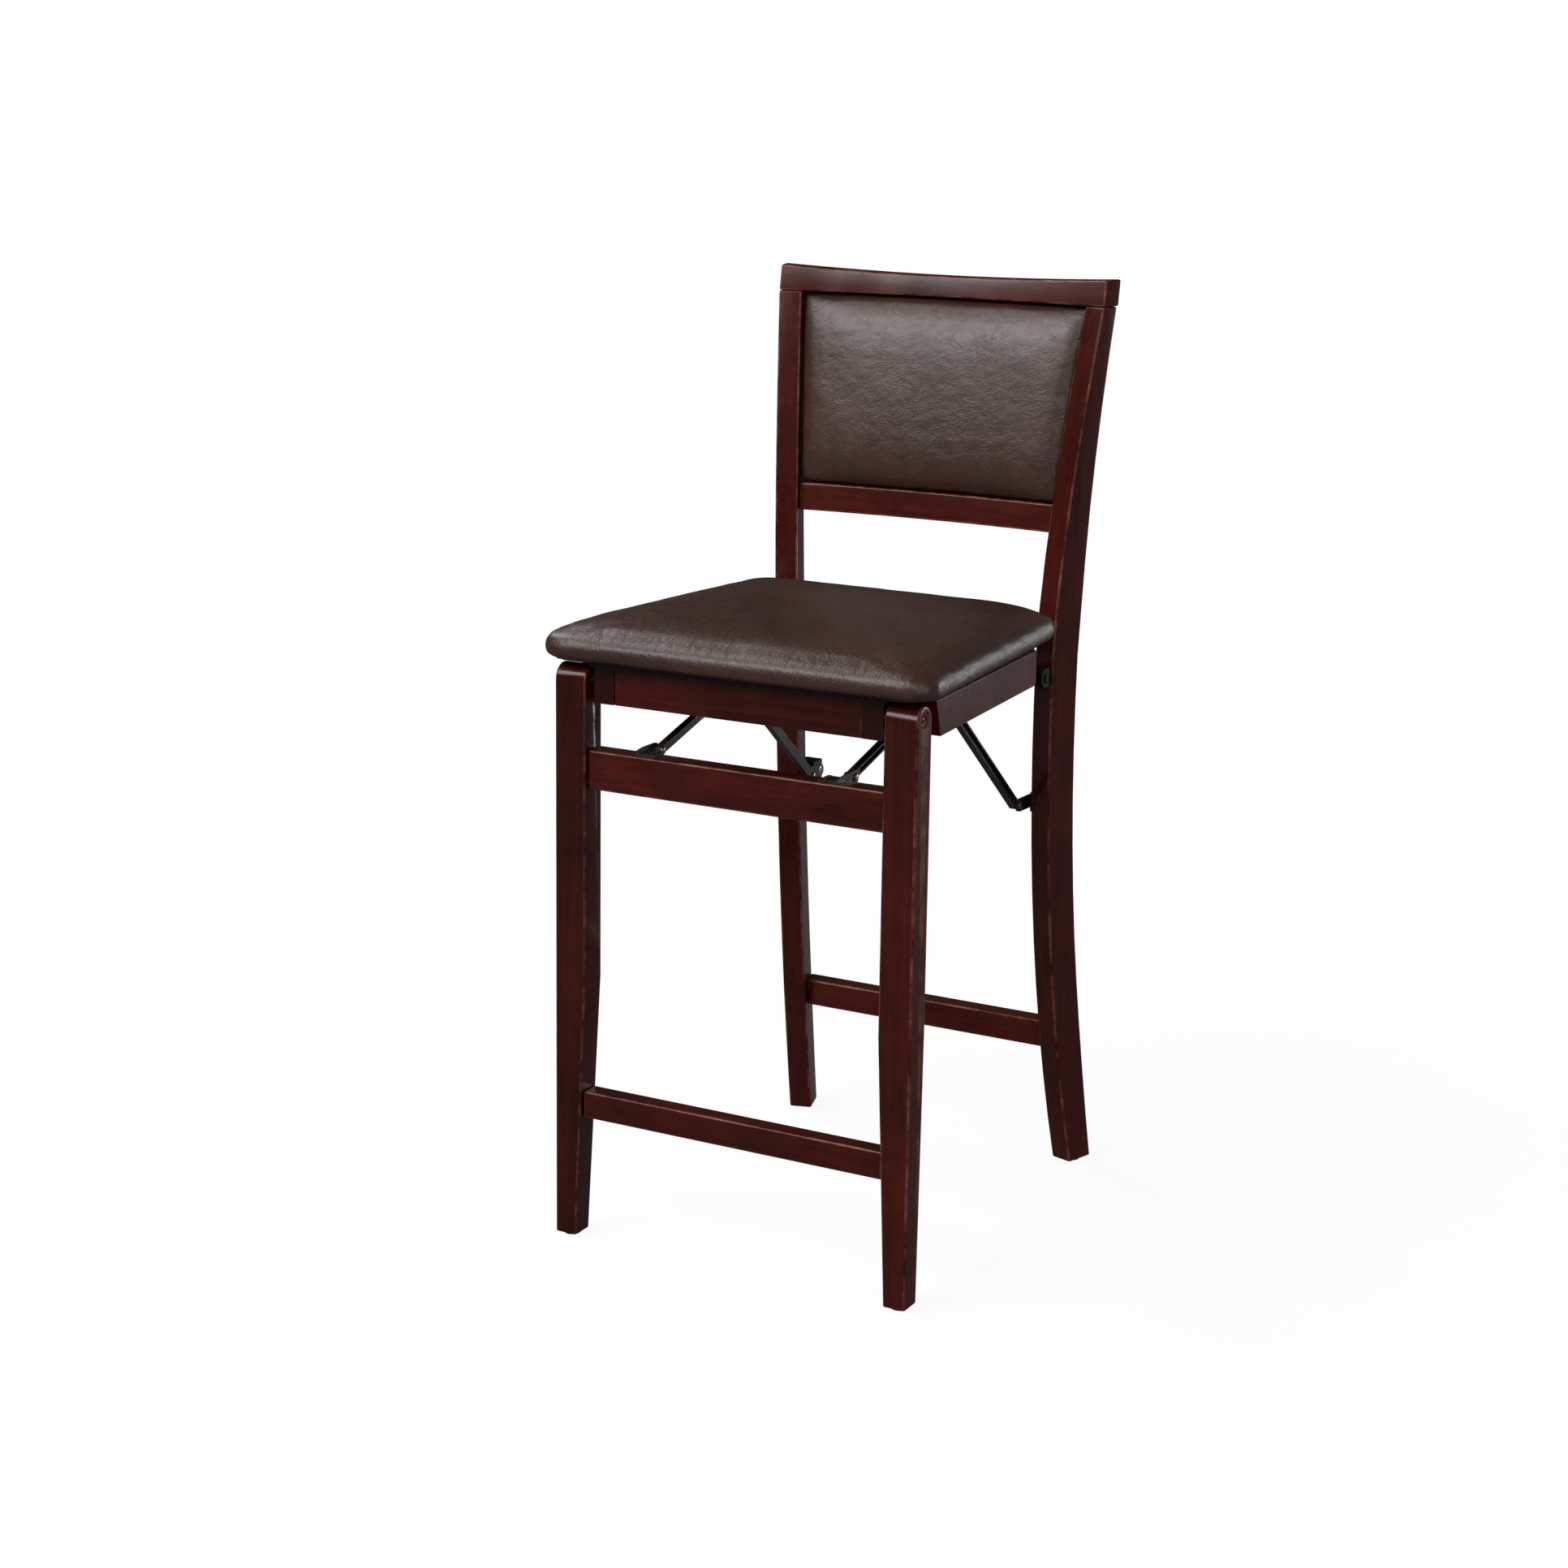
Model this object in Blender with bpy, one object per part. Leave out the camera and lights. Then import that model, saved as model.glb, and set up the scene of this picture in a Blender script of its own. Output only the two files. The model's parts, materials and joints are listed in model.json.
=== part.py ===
"""Folding counter stool with an upholstered seat and back.

The part stands on Z = 0 with the sitter facing -Y.  Its origin is the centre of its
footprint.  Front-to-back places are given from the front legs' front faces (the datum)
and heights from the floor.  "Right" is +X, the viewer's right when facing the stool.

Moving assemblies hang on empties that lie on their joint axes:
  seat_axis       seat frame against the rear frame
  front_axis      front legs against the seat frame
  link_axis_*     short brace link against the rear leg bracket
  knee_axis_*     long brace bar against the short link
  stay_axis_*     front stay against the bracket on the upper front rung
"""
import math

import bmesh
import bpy
from mathutils import Matrix, Vector

# Clearances
GAP = 0.0003
PIN_CLEARANCE = 0.0003

# Overall places: heights from the floor, depths from the front legs' front faces
CREST_TOP_Z = 0.985
SEAT_UNDERSIDE_Z = 0.6165
GLIDE_HEIGHT = 0.0020
GLIDE_RADIUS = 0.0090

# Front legs
FRONT_LEG_OUTER_X = 0.2037
FRONT_LEG_WIDTH = 0.0357
FRONT_LEG_DEPTH = 0.0318
FRONT_FOOT_WIDTH = 0.0241
FRONT_FOOT_DEPTH = 0.0264
FRONT_TAPER_Z = 0.280
LEG_TOP_CLEARANCE = 0.0061

# Front rungs
UPPER_RUNG_Z = 0.4831
UPPER_RUNG_HEIGHT = 0.0408
UPPER_RUNG_DEPTH = 0.0250
LOWER_RUNG_Z = 0.1319
LOWER_RUNG_HEIGHT = 0.0289
LOWER_RUNG_DEPTH = 0.0220
RUNG_SETBACK = 0.0050

# Rear legs: a sabre-shaped board, yawed towards the sitter and splayed a little
REAR_LEG_YAW = math.radians(17.1)
REAR_LEG_WIDTH = 0.0253
REAR_LEG_DEPTH = 0.0415
REAR_FOOT_DEPTH = 0.0350
REAR_TOP_DEPTH = 0.0215
REAR_LEG_OVERLAP = 0.0004
REAR_WAIST_Y = 0.3970
REAR_WAIST_Z = 0.600
FOOT_SWEEP = 0.0731
FOOT_SWEEP_POWER = 2.2
BACK_SWEEP = 0.0475
BACK_SWEEP_POWER = 1.55
SPLAY_BELOW = 0.0200
SPLAY_ABOVE = 0.0314
FOOT_TAPER_Z = 0.200
BACK_TAPER_Z = 0.650

# Back: every rail and the pad follow one concave radius
BACK_RADIUS = 1.200
CREST_HEIGHT = 0.0280
CREST_DEPTH = 0.0230
CREST_DIP = 0.0060
CREST_LEAN = 0.17
LOWER_BACK_RAIL_Z = 0.7178
LOWER_BACK_RAIL_HEIGHT = 0.0300
LOWER_BACK_RAIL_DEPTH = 0.0200
LOWER_BACK_RAIL_SETBACK = 0.0070
LOWER_BACK_RAIL_LEAN = 0.14
REAR_RUNG_Z = 0.1360
REAR_RUNG_HEIGHT = 0.0300
REAR_RUNG_DEPTH = 0.0240
REAR_RUNG_SETBACK = 0.0080
PAD_SETBACK = 0.0160
PAD_EDGE = 0.0060
PAD_CROWN = 0.0180
PANEL_THICKNESS = 0.0060
PAD_COLUMNS = 16
PAD_ROWS = 14

# Seat frame
RAIL_BOTTOM_Z = 0.5724
SEAT_BOARD_THICKNESS = 0.0059
FRONT_RAIL_Y = 0.0100
FRONT_RAIL_DEPTH = 0.0200
PIVOT_BLOCK_WIDTH = 0.0234
PIVOT_BLOCK_Y = 0.0085
PIVOT_BLOCK_DEPTH = 0.0435
SIDE_RAIL_INSET = 0.0033
SIDE_RAIL_THICKNESS = 0.0190
SIDE_RAIL_TOE_IN = math.radians(4.3)
SIDE_RAIL_FRONT_Y = 0.0450
SIDE_RAIL_FRONT_SLANT = 0.0130
SIDE_RAIL_REAR_Y = 0.3270
SIDE_RAIL_CORNER = 0.0060
REAR_RAIL_DEPTH = 0.0200
CORNER_BLOCK_DEPTH = 0.0330
BOARD_FRONT_Y = 0.0040
BOARD_REAR_Y = 0.3480
BOARD_SIDE_INSET = 0.0160

# Seat cushion
CUSHION_FRONT_Y = -0.0145
CUSHION_REAR_Y = 0.3720
CUSHION_FRONT_HALF = 0.2250
CUSHION_REAR_HALF = 0.1890
CUSHION_CORNER = 0.0300
CUSHION_SIDE = 0.0275
CUSHION_CROWN = 0.0260
CUSHION_BOW = 0.0025
CUSHION_ARC_STEPS = 5
CUSHION_SIDE_STEPS = 8

# Leg pivots
PIVOT_BOLT_RADIUS = 0.0039
PIVOT_HEAD_RADIUS = 0.0062
PIVOT_HEAD_HEIGHT = 0.0035
COUNTERBORE_RADIUS = 0.0072
COUNTERBORE_DEPTH = 0.0060
WASHER_RADIUS = 0.0080
WASHER_THICKNESS = 0.0047

# Rear hinges, one on the front face of each rear leg
HINGE_REACH = 0.0120
HINGE_DROP = 0.0044
HINGE_INSET = 0.0229
HINGE_WIDTH = 0.0200
HINGE_TONGUE = 0.0070
HINGE_RADIUS = 0.0060
HINGE_HEIGHT = 0.0200
HINGE_PIN_RADIUS = 0.0025

# Rear braces: leg bracket, short link and long bar
BRACE_INSET = 0.02594
BAR_WIDTH = 0.0080
BAR_DEPTH = 0.0100
BAR_GROOVE_DEPTH = 0.0050
BAR_GROOVE_HEIGHT = 0.0064
BAR_GROOVE_END = 0.0140
LINK_INSET = 0.02862
LINK_Z = 0.4200
KNEE_REACH = 0.0340
KNEE_RISE = 0.0010
PIN_HEAD_SINK = 0.0014
LINK_THICKNESS = 0.0030
LINK_RADIUS = 0.0070
BAR_REST_Y = 0.2250
BRACKET_EAR_INSET = 0.0004
BRACKET_HALF_DEPTH = 0.0100
BRACKET_HALF_HEIGHT = 0.0110
RIVET_RADIUS = 0.0026
RIVET_HEAD_RADIUS = 0.0046
RIVET_HEAD_HEIGHT = 0.0018

# Front stays and the track that guides both bars under the seat
LANE_SPACING = 0.0165
STAY_DEPTH = 0.0080
STAY_REACH = 0.0170
STAY_DROP = 0.0009
STAY_REST_Y = 0.2150
TRACK_DROP = 0.0034
TRACK_WALL = 0.0020
TRACK_SIDE_CLEARANCE = 0.0010
TRACK_TOP_CLEARANCE = 0.0012
TRACK_LIP = 0.0055
TRACK_FRONT_Y = 0.0500
TRACK_REAR_Y = 0.2420
RUNG_PLATE_THICKNESS = 0.0020
RUNG_EAR_THICKNESS = 0.0020
RUNG_PLATE_WIDTH = 0.0200
RUNG_PLATE_FRONT_Y = 0.0100

# Edge rounding
WOOD_ROUND = 0.0020
SMALL_ROUND = 0.0008
SMOOTH_ANGLE = math.radians(35)
FLAT_LIMIT = math.radians(0.02)

# Derived places
FOOT_Z = GLIDE_HEIGHT + GAP
PIVOT_RADIUS = FRONT_LEG_DEPTH / 2
PIVOT_Y = FRONT_LEG_DEPTH / 2
PIVOT_Z = SEAT_UNDERSIDE_Z - LEG_TOP_CLEARANCE - PIVOT_RADIUS
CREST_Z = CREST_TOP_Z - CREST_HEIGHT
REAR_LEG_TOP_Z = CREST_Z - GAP
FRONT_LEG_INNER_X = FRONT_LEG_OUTER_X - FRONT_LEG_WIDTH
BOARD_Z = SEAT_UNDERSIDE_Z - GAP - SEAT_BOARD_THICKNESS
RAIL_TOP_Z = BOARD_Z - GAP
REAR_RAIL_Y = SIDE_RAIL_REAR_Y - REAR_RAIL_DEPTH - 0.002
REAR_WAIST_X = FRONT_LEG_INNER_X + REAR_LEG_OVERLAP
SIDE_RAIL_OUTER_X = FRONT_LEG_OUTER_X - SIDE_RAIL_INSET
PIVOT_BLOCK_OUTER_X = FRONT_LEG_INNER_X - GAP - WASHER_THICKNESS - GAP
FRONT_RAIL_HALF = PIVOT_BLOCK_OUTER_X - PIVOT_BLOCK_WIDTH - GAP
HINGE_INNER_X = REAR_WAIST_X - HINGE_INSET
HINGE_Y = REAR_WAIST_Y - HINGE_REACH
HINGE_Z = RAIL_BOTTOM_Z - HINGE_DROP
TRACK_Z = RAIL_BOTTOM_Z - TRACK_DROP
STAY_PIVOT_Y = RUNG_SETBACK + UPPER_RUNG_DEPTH + STAY_REACH
STAY_PIVOT_Z = UPPER_RUNG_Z + UPPER_RUNG_HEIGHT - STAY_DROP
SIDES = (("left", -1), ("right", 1))


def rear_sweep(z):
    """Distance of the rear leg's front edge behind its most forward point."""
    if z < REAR_WAIST_Z:
        return FOOT_SWEEP * ((REAR_WAIST_Z - z) / REAR_WAIST_Z) ** FOOT_SWEEP_POWER
    return BACK_SWEEP * ((z - REAR_WAIST_Z) / (CREST_Z - REAR_WAIST_Z)) ** BACK_SWEEP_POWER


def rear_depth(z):
    """Depth of the rear leg's board at a height."""
    if z < FOOT_TAPER_Z:
        share = (FOOT_TAPER_Z - z) / FOOT_TAPER_Z
        return REAR_LEG_DEPTH - (REAR_LEG_DEPTH - REAR_FOOT_DEPTH) * share ** 2
    if z > BACK_TAPER_Z:
        share = (z - BACK_TAPER_Z) / (CREST_Z - BACK_TAPER_Z)
        return REAR_LEG_DEPTH - (REAR_LEG_DEPTH - REAR_TOP_DEPTH) * share
    return REAR_LEG_DEPTH


def rear_leg_point(z, inward, rearward):
    """A point of the right rear leg, measured from its outer front edge."""
    sweep = rear_sweep(z) + rearward
    splay = SPLAY_BELOW if z < REAR_WAIST_Z else SPLAY_ABOVE
    x = REAR_WAIST_X + splay * (z - REAR_WAIST_Z) + sweep * math.sin(REAR_LEG_YAW)
    y = REAR_WAIST_Y + sweep * math.cos(REAR_LEG_YAW)
    return (x - inward * math.cos(REAR_LEG_YAW), y + inward * math.sin(REAR_LEG_YAW), z)


def rear_inner_x(y, z):
    """X of the right rear leg's inner face at a depth and height."""
    corner = rear_leg_point(z, REAR_LEG_WIDTH, 0)
    return corner[0] + (y - corner[1]) * math.tan(REAR_LEG_YAW)


def rear_front_y(x, z):
    """Y of the right rear leg's front face at a width and height."""
    corner = rear_leg_point(z, 0, 0)
    return corner[1] + (corner[0] - x) * math.tan(REAR_LEG_YAW)


def side_rail_x(y):
    """X of the right side rail's outer face."""
    return SIDE_RAIL_OUTER_X - (y - SIDE_RAIL_FRONT_Y - SIDE_RAIL_FRONT_SLANT) * math.tan(SIDE_RAIL_TOE_IN)


def sagged(end_x, x):
    """How far a concave rail lies behind its ends at a place across it."""
    return (end_x ** 2 - x ** 2) / (2 * BACK_RADIUS)


# Pivots of the rear braces, set from the rear leg's inner front edge
LINK_Y = rear_leg_point(LINK_Z, REAR_LEG_WIDTH, 0)[1] + LINK_INSET
KNEE_Y = LINK_Y - KNEE_REACH
KNEE_Z = LINK_Z + KNEE_RISE
BRACE_X = rear_inner_x(LINK_Y, LINK_Z) - BRACE_INSET
STAY_X = BRACE_X - LANE_SPACING

# Footprint, which sets the origin
FOOTPRINT_REAR_Y = rear_leg_point(FOOT_Z, REAR_LEG_WIDTH, rear_depth(FOOT_Z))[1]
DATUM_Y = -(CUSHION_FRONT_Y - CUSHION_BOW + FOOTPRINT_REAR_Y) / 2

origins = {}


def make_material(name, colour, roughness, metallic=0.0):
    material = bpy.data.materials.new(name)
    material.use_nodes = True
    shader = material.node_tree.nodes["Principled BSDF"]
    shader.inputs["Base Color"].default_value = (*colour, 1)
    shader.inputs["Roughness"].default_value = roughness
    shader.inputs["Metallic"].default_value = metallic
    return material


def make_axis(name, x, y, z, parent=None):
    """An empty on a joint axis, placed by its datum coordinates."""
    empty = bpy.data.objects.new(name, None)
    bpy.context.scene.collection.objects.link(empty)
    place(empty, (x, y, z), parent)
    origins[name] = (empty, Vector((x, y, z)))
    return name


def place(thing, position, parent):
    """Parent a thing and set its location from datum coordinates."""
    if parent is None:
        thing.location = (position[0], position[1] + DATUM_Y, position[2])
        return
    holder, holder_position = origins[parent]
    thing.parent = holder
    thing.location = Vector(position) - holder_position


def add_piece(name, bm, material, parent, origin, smooth=True):
    """Turn datum-coordinate geometry into an object with its own origin."""
    bmesh.ops.connect_verts_nonplanar(bm, angle_limit=FLAT_LIMIT, faces=bm.faces)
    bmesh.ops.recalc_face_normals(bm, faces=bm.faces)
    bmesh.ops.translate(bm, vec=-Vector(origin), verts=bm.verts)
    mesh = bpy.data.meshes.new(name)
    bm.to_mesh(mesh)
    bm.free()
    mesh.materials.append(material)
    if smooth:
        mesh.shade_smooth()
        mesh.set_sharp_from_angle(angle=SMOOTH_ANGLE)
    piece = bpy.data.objects.new(name, mesh)
    bpy.context.scene.collection.objects.link(piece)
    place(piece, origin, parent)
    return piece


def loft(sections, closed=False):
    """A closed body through sections of equal point count, or a ring of them."""
    bm = bmesh.new()
    rings = [[bm.verts.new(point) for point in section] for section in sections]
    count = len(rings[0])
    last = len(rings) if closed else len(rings) - 1
    for index in range(last):
        first = rings[index]
        second = rings[(index + 1) % len(rings)]
        for step in range(count):
            following = (step + 1) % count
            bm.faces.new((first[step], first[following], second[following], second[step]))
    if not closed:
        bm.faces.new(rings[0])
        bm.faces.new(rings[-1])
    return bm


def prism(outline, axis, low, high):
    """An outline in the plane across an axis, pushed from low to high."""
    def point(pair, level):
        if axis == "X":
            return (level, pair[0], pair[1])
        if axis == "Y":
            return (pair[0], level, pair[1])
        return (pair[0], pair[1], level)
    bm = bmesh.new()
    face = bm.faces.new([bm.verts.new(point(pair, low)) for pair in outline])
    moved = bmesh.ops.extrude_face_region(bm, geom=[face])["geom"]
    step = Vector(point((0, 0), high)) - Vector(point((0, 0), low))
    bmesh.ops.translate(bm, vec=step, verts=[item for item in moved if isinstance(item, bmesh.types.BMVert)])
    return bm


def box(x0, x1, y0, y1, z0, z1):
    return prism([(x0, y0), (x1, y0), (x1, y1), (x0, y1)], "Z", z0, z1)


def arc(centre, radius, start, end, steps):
    """Points along an arc in degrees."""
    points = []
    for step in range(steps + 1):
        angle = math.radians(start + (end - start) * step / steps)
        points.append((centre[0] + radius * math.cos(angle), centre[1] + radius * math.sin(angle)))
    return points


def stadium(first, second, radius, steps=8):
    """A bar outline with round ends about two pivots."""
    heading = math.degrees(math.atan2(second[1] - first[1], second[0] - first[0]))
    outline = arc(second, radius, heading - 90, heading + 90, steps)
    return outline + arc(first, radius, heading + 90, heading + 270, steps)


def turned(profile, y, z, sides=24):
    """A solid of revolution about X from (x, radius) pairs."""
    sections = []
    for x, radius in profile:
        ring = [(x, y + pair[0], z + pair[1]) for pair in arc((0, 0), radius, 0, 360, sides)[:-1]]
        sections.append(ring)
    return loft(sections)


def round_edges(piece, width, segments=2):
    bevel = piece.modifiers.new("round_edges", "BEVEL")
    bevel.width = width
    bevel.segments = segments
    bevel.limit_method = "ANGLE"
    bevel.angle_limit = math.radians(40)


def cut(piece, name, bm):
    """Cut a piece with a shape given in datum coordinates."""
    cutter = add_piece(name, bm, piece.data.materials[0], "stool", (0, 0, 0), smooth=False)
    cutter.hide_render = True
    cutter.display_type = "WIRE"
    boolean = piece.modifiers.new(name, "BOOLEAN")
    boolean.operation = "DIFFERENCE"
    boolean.solver = "EXACT"
    boolean.object = cutter


def bore(piece, name, radius, x0, x1, y, z):
    cut(piece, name, turned([(x0, radius), (x1, radius)], y, z))


def span(side, near, far):
    """Low and high X of a span that is mirrored for the left side."""
    return sorted((side * near, side * far))


def front_inner_x(z):
    """X of the right front leg's inner face at a height."""
    if z >= FRONT_TAPER_Z:
        return FRONT_LEG_INNER_X
    share = (FRONT_TAPER_Z - z) / FRONT_TAPER_Z
    return FRONT_LEG_INNER_X + (FRONT_LEG_WIDTH - FRONT_FOOT_WIDTH) * share


def front_rear_y(z):
    """Y of the front leg's rear face at a height."""
    if z >= FRONT_TAPER_Z:
        return FRONT_LEG_DEPTH
    share = (FRONT_TAPER_Z - z) / FRONT_TAPER_Z
    return FRONT_LEG_DEPTH - (FRONT_LEG_DEPTH - FRONT_FOOT_DEPTH) * share


def build_glide(name, x, y, parent):
    disc = bmesh.new()
    bmesh.ops.create_cone(disc, cap_ends=True, segments=20, radius1=GLIDE_RADIUS, radius2=GLIDE_RADIUS,
                          depth=GLIDE_HEIGHT, matrix=Matrix.Translation((x, y, GLIDE_HEIGHT / 2)))
    glide = add_piece(name, disc, glide_material, parent, (x, y, 0))
    round_edges(glide, GLIDE_HEIGHT / 5, 1)


def build_rear_leg(side_name, side):
    heights = [FOOT_Z + (REAR_LEG_TOP_Z - FOOT_Z) * step / 18 for step in range(19)]
    sections = []
    for z in heights:
        corners = ((0, 0), (REAR_LEG_WIDTH, 0), (REAR_LEG_WIDTH, rear_depth(z)), (0, rear_depth(z)))
        points = [rear_leg_point(z, inward, rearward) for inward, rearward in corners]
        sections.append([(side * x, y, z) for x, y, z in points])
    leg = add_piece("rear_leg_" + side_name, loft(sections), wood, "stool",
                    (side * REAR_WAIST_X, REAR_WAIST_Y, REAR_WAIST_Z))
    round_edges(leg, WOOD_ROUND)
    foot = rear_leg_point(FOOT_Z, REAR_LEG_WIDTH / 2, rear_depth(FOOT_Z) / 2)
    build_glide("rear_glide_" + side_name, side * foot[0], foot[1], "stool")


def concave_rail(setback_y, depth, bottom, top, lean, end_x, dip=0.0, steps=12):
    """A rail between the rear legs, bowed to the back's radius and leaning with it."""
    sections = []
    for step in range(steps + 1):
        share = 2 * step / steps - 1
        section = []
        for rearward, z in ((0, bottom), (depth, bottom), (depth, top), (0, top)):
            y = setback_y + rearward + (z - bottom) * lean
            far = end_x(y, z)
            x = share * far
            height = z - (dip * (1 - share ** 2) if z == top else 0)
            section.append((x, y + sagged(far, x), height))
        sections.append(section)
    return loft(sections)


def build_back():
    corner = rear_leg_point(CREST_Z, 0, 0)

    def crest_end(y, z):
        return corner[0] + (y - corner[1] - (z - CREST_Z) * CREST_LEAN) * math.tan(REAR_LEG_YAW)

    crest = add_piece("crest_rail", concave_rail(corner[1], CREST_DEPTH, CREST_Z, CREST_TOP_Z, CREST_LEAN,
                                                 crest_end, CREST_DIP), wood, "stool", (0, corner[1], CREST_Z))
    round_edges(crest, WOOD_ROUND)

    def seated_end(y, z):
        return rear_inner_x(y, z) - GAP

    rail_y = rear_leg_point(LOWER_BACK_RAIL_Z, REAR_LEG_WIDTH, 0)[1] + LOWER_BACK_RAIL_SETBACK
    rail_top = LOWER_BACK_RAIL_Z + LOWER_BACK_RAIL_HEIGHT
    rail = add_piece("lower_back_rail", concave_rail(rail_y, LOWER_BACK_RAIL_DEPTH, LOWER_BACK_RAIL_Z, rail_top,
                                                     LOWER_BACK_RAIL_LEAN, seated_end),
                     wood, "stool", (0, rail_y, LOWER_BACK_RAIL_Z))
    round_edges(rail, WOOD_ROUND)
    rung_y = rear_leg_point(REAR_RUNG_Z, REAR_LEG_WIDTH, 0)[1] + REAR_RUNG_SETBACK
    ends = []
    for side in (-1, 1):
        corners = []
        for rearward, height in ((0, 0), (REAR_RUNG_DEPTH, 0), (REAR_RUNG_DEPTH, REAR_RUNG_HEIGHT),
                                 (0, REAR_RUNG_HEIGHT)):
            y = rung_y + rearward
            z = REAR_RUNG_Z + height
            corners.append((side * seated_end(y, z), y, z))
        ends.append(corners)
    rung = add_piece("rear_rung", loft(ends), wood, "stool", (0, rung_y, REAR_RUNG_Z))
    round_edges(rung, WOOD_ROUND)
    build_upholstered_back(rail_top + GAP, CREST_Z - GAP)


def build_upholstered_back(bottom, top):
    """The pad's crowned face and flat rear, and the thin panel behind it."""
    def point(across, up, forward):
        z = bottom + (top - bottom) * (up + 1) / 2
        y = rear_leg_point(z, REAR_LEG_WIDTH, 0)[1] + PAD_SETBACK - forward
        half = rear_inner_x(y, z) - GAP
        return (across * half, y + sagged(half, across * half), z)

    def eased(index, count):
        return math.sin(math.pi / 2 * (2 * index / count - 1))

    def sheet(bm, forward_of):
        return [[bm.verts.new(point(eased(column, PAD_COLUMNS), eased(row, PAD_ROWS),
                                    forward_of(eased(column, PAD_COLUMNS), eased(row, PAD_ROWS))))
                 for column in range(PAD_COLUMNS + 1)] for row in range(PAD_ROWS + 1)]

    def closed_pair(front_of, rear_of):
        bm = bmesh.new()
        front = sheet(bm, front_of)
        rear = sheet(bm, rear_of)
        for row in range(PAD_ROWS):
            for column in range(PAD_COLUMNS):
                for grid in (front, rear):
                    bm.faces.new((grid[row][column], grid[row][column + 1],
                                  grid[row + 1][column + 1], grid[row + 1][column]))
        rims = []
        for grid in (front, rear):
            right_edge = [line[-1] for line in grid[1:]]
            left_edge = [line[0] for line in grid[1:-1]]
            rims.append(grid[0] + right_edge + grid[-1][-2::-1] + left_edge[::-1])
        for step in range(len(rims[0])):
            following = (step + 1) % len(rims[0])
            bm.faces.new((rims[0][step], rims[0][following], rims[1][following], rims[1][step]))
        return bm

    def crowned(across, up):
        return PAD_EDGE + PAD_CROWN * math.sqrt((1 - across ** 4) * (1 - up ** 4))

    middle = (0, REAR_WAIST_Y + BACK_SWEEP, (bottom + top) / 2)
    add_piece("back_pad", closed_pair(crowned, lambda across, up: 0), leather, "stool", middle)
    panel = closed_pair(lambda across, up: -GAP, lambda across, up: -GAP - PANEL_THICKNESS)
    add_piece("back_panel", panel, board, "stool", middle)


def build_front_leg(side_name, side):
    top = arc((PIVOT_Y, PIVOT_Z), PIVOT_RADIUS, 180, 0, 12)
    outline = [(0, FOOT_Z), (0, FRONT_TAPER_Z)] + top
    outline += [(FRONT_LEG_DEPTH, FRONT_TAPER_Z), (front_rear_y(FOOT_Z), FOOT_Z)]
    bm = bmesh.new()
    outer = [bm.verts.new((side * FRONT_LEG_OUTER_X, y, z)) for y, z in outline]
    inner = [bm.verts.new((side * front_inner_x(z), y, z)) for y, z in outline]
    count = len(outline)
    for step in range(count):
        following = (step + 1) % count
        bm.faces.new((outer[step], outer[following], inner[following], inner[step]))
    bm.faces.new(outer)
    bm.faces.new(inner[1:-1])
    bm.faces.new((inner[0], inner[1], inner[-2], inner[-1]))
    leg = add_piece("front_leg_" + side_name, bm, wood, "front_axis",
                    (side * FRONT_LEG_OUTER_X, PIVOT_Y, PIVOT_Z))
    round_edges(leg, WOOD_ROUND)
    bore_radius = PIVOT_BOLT_RADIUS + PIN_CLEARANCE
    low, high = span(side, FRONT_LEG_INNER_X - 0.005, FRONT_LEG_OUTER_X + 0.005)
    bore(leg, "cut_front_leg_bore_" + side_name, bore_radius, low, high, PIVOT_Y, PIVOT_Z)
    low, high = span(side, FRONT_LEG_OUTER_X - COUNTERBORE_DEPTH, FRONT_LEG_OUTER_X + 0.005)
    bore(leg, "cut_front_leg_counterbore_" + side_name, COUNTERBORE_RADIUS, low, high, PIVOT_Y, PIVOT_Z)
    glide_x = FRONT_LEG_OUTER_X - FRONT_FOOT_WIDTH / 2
    build_glide("front_glide_" + side_name, side * glide_x, FRONT_FOOT_DEPTH / 2, "front_axis")


def build_front_rung(name, bottom, height, depth):
    half = front_inner_x(bottom + height) - GAP
    bm = box(-half, half, RUNG_SETBACK, RUNG_SETBACK + depth, bottom, bottom + height)
    rung = add_piece(name, bm, wood, "front_axis", (0, RUNG_SETBACK, bottom))
    round_edges(rung, WOOD_ROUND)


def build_seat_frame():
    front = add_piece("front_rail", box(-FRONT_RAIL_HALF, FRONT_RAIL_HALF, FRONT_RAIL_Y,
                                        FRONT_RAIL_Y + FRONT_RAIL_DEPTH, RAIL_BOTTOM_Z, RAIL_TOP_Z),
                      wood, "seat_axis", (0, FRONT_RAIL_Y, RAIL_BOTTOM_Z))
    round_edges(front, WOOD_ROUND / 2)
    rear_half = side_rail_x(REAR_RAIL_Y + REAR_RAIL_DEPTH) - SIDE_RAIL_THICKNESS - GAP
    rear = add_piece("rear_rail", box(-rear_half, rear_half, REAR_RAIL_Y, REAR_RAIL_Y + REAR_RAIL_DEPTH,
                                      RAIL_BOTTOM_Z, RAIL_TOP_Z),
                     wood, "seat_axis", (0, REAR_RAIL_Y, RAIL_BOTTOM_Z))
    round_edges(rear, WOOD_ROUND / 2)
    for side_name, side in SIDES:
        build_side_rail(side_name, side)
        build_front_corner(side_name, side)
    build_board()


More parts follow.
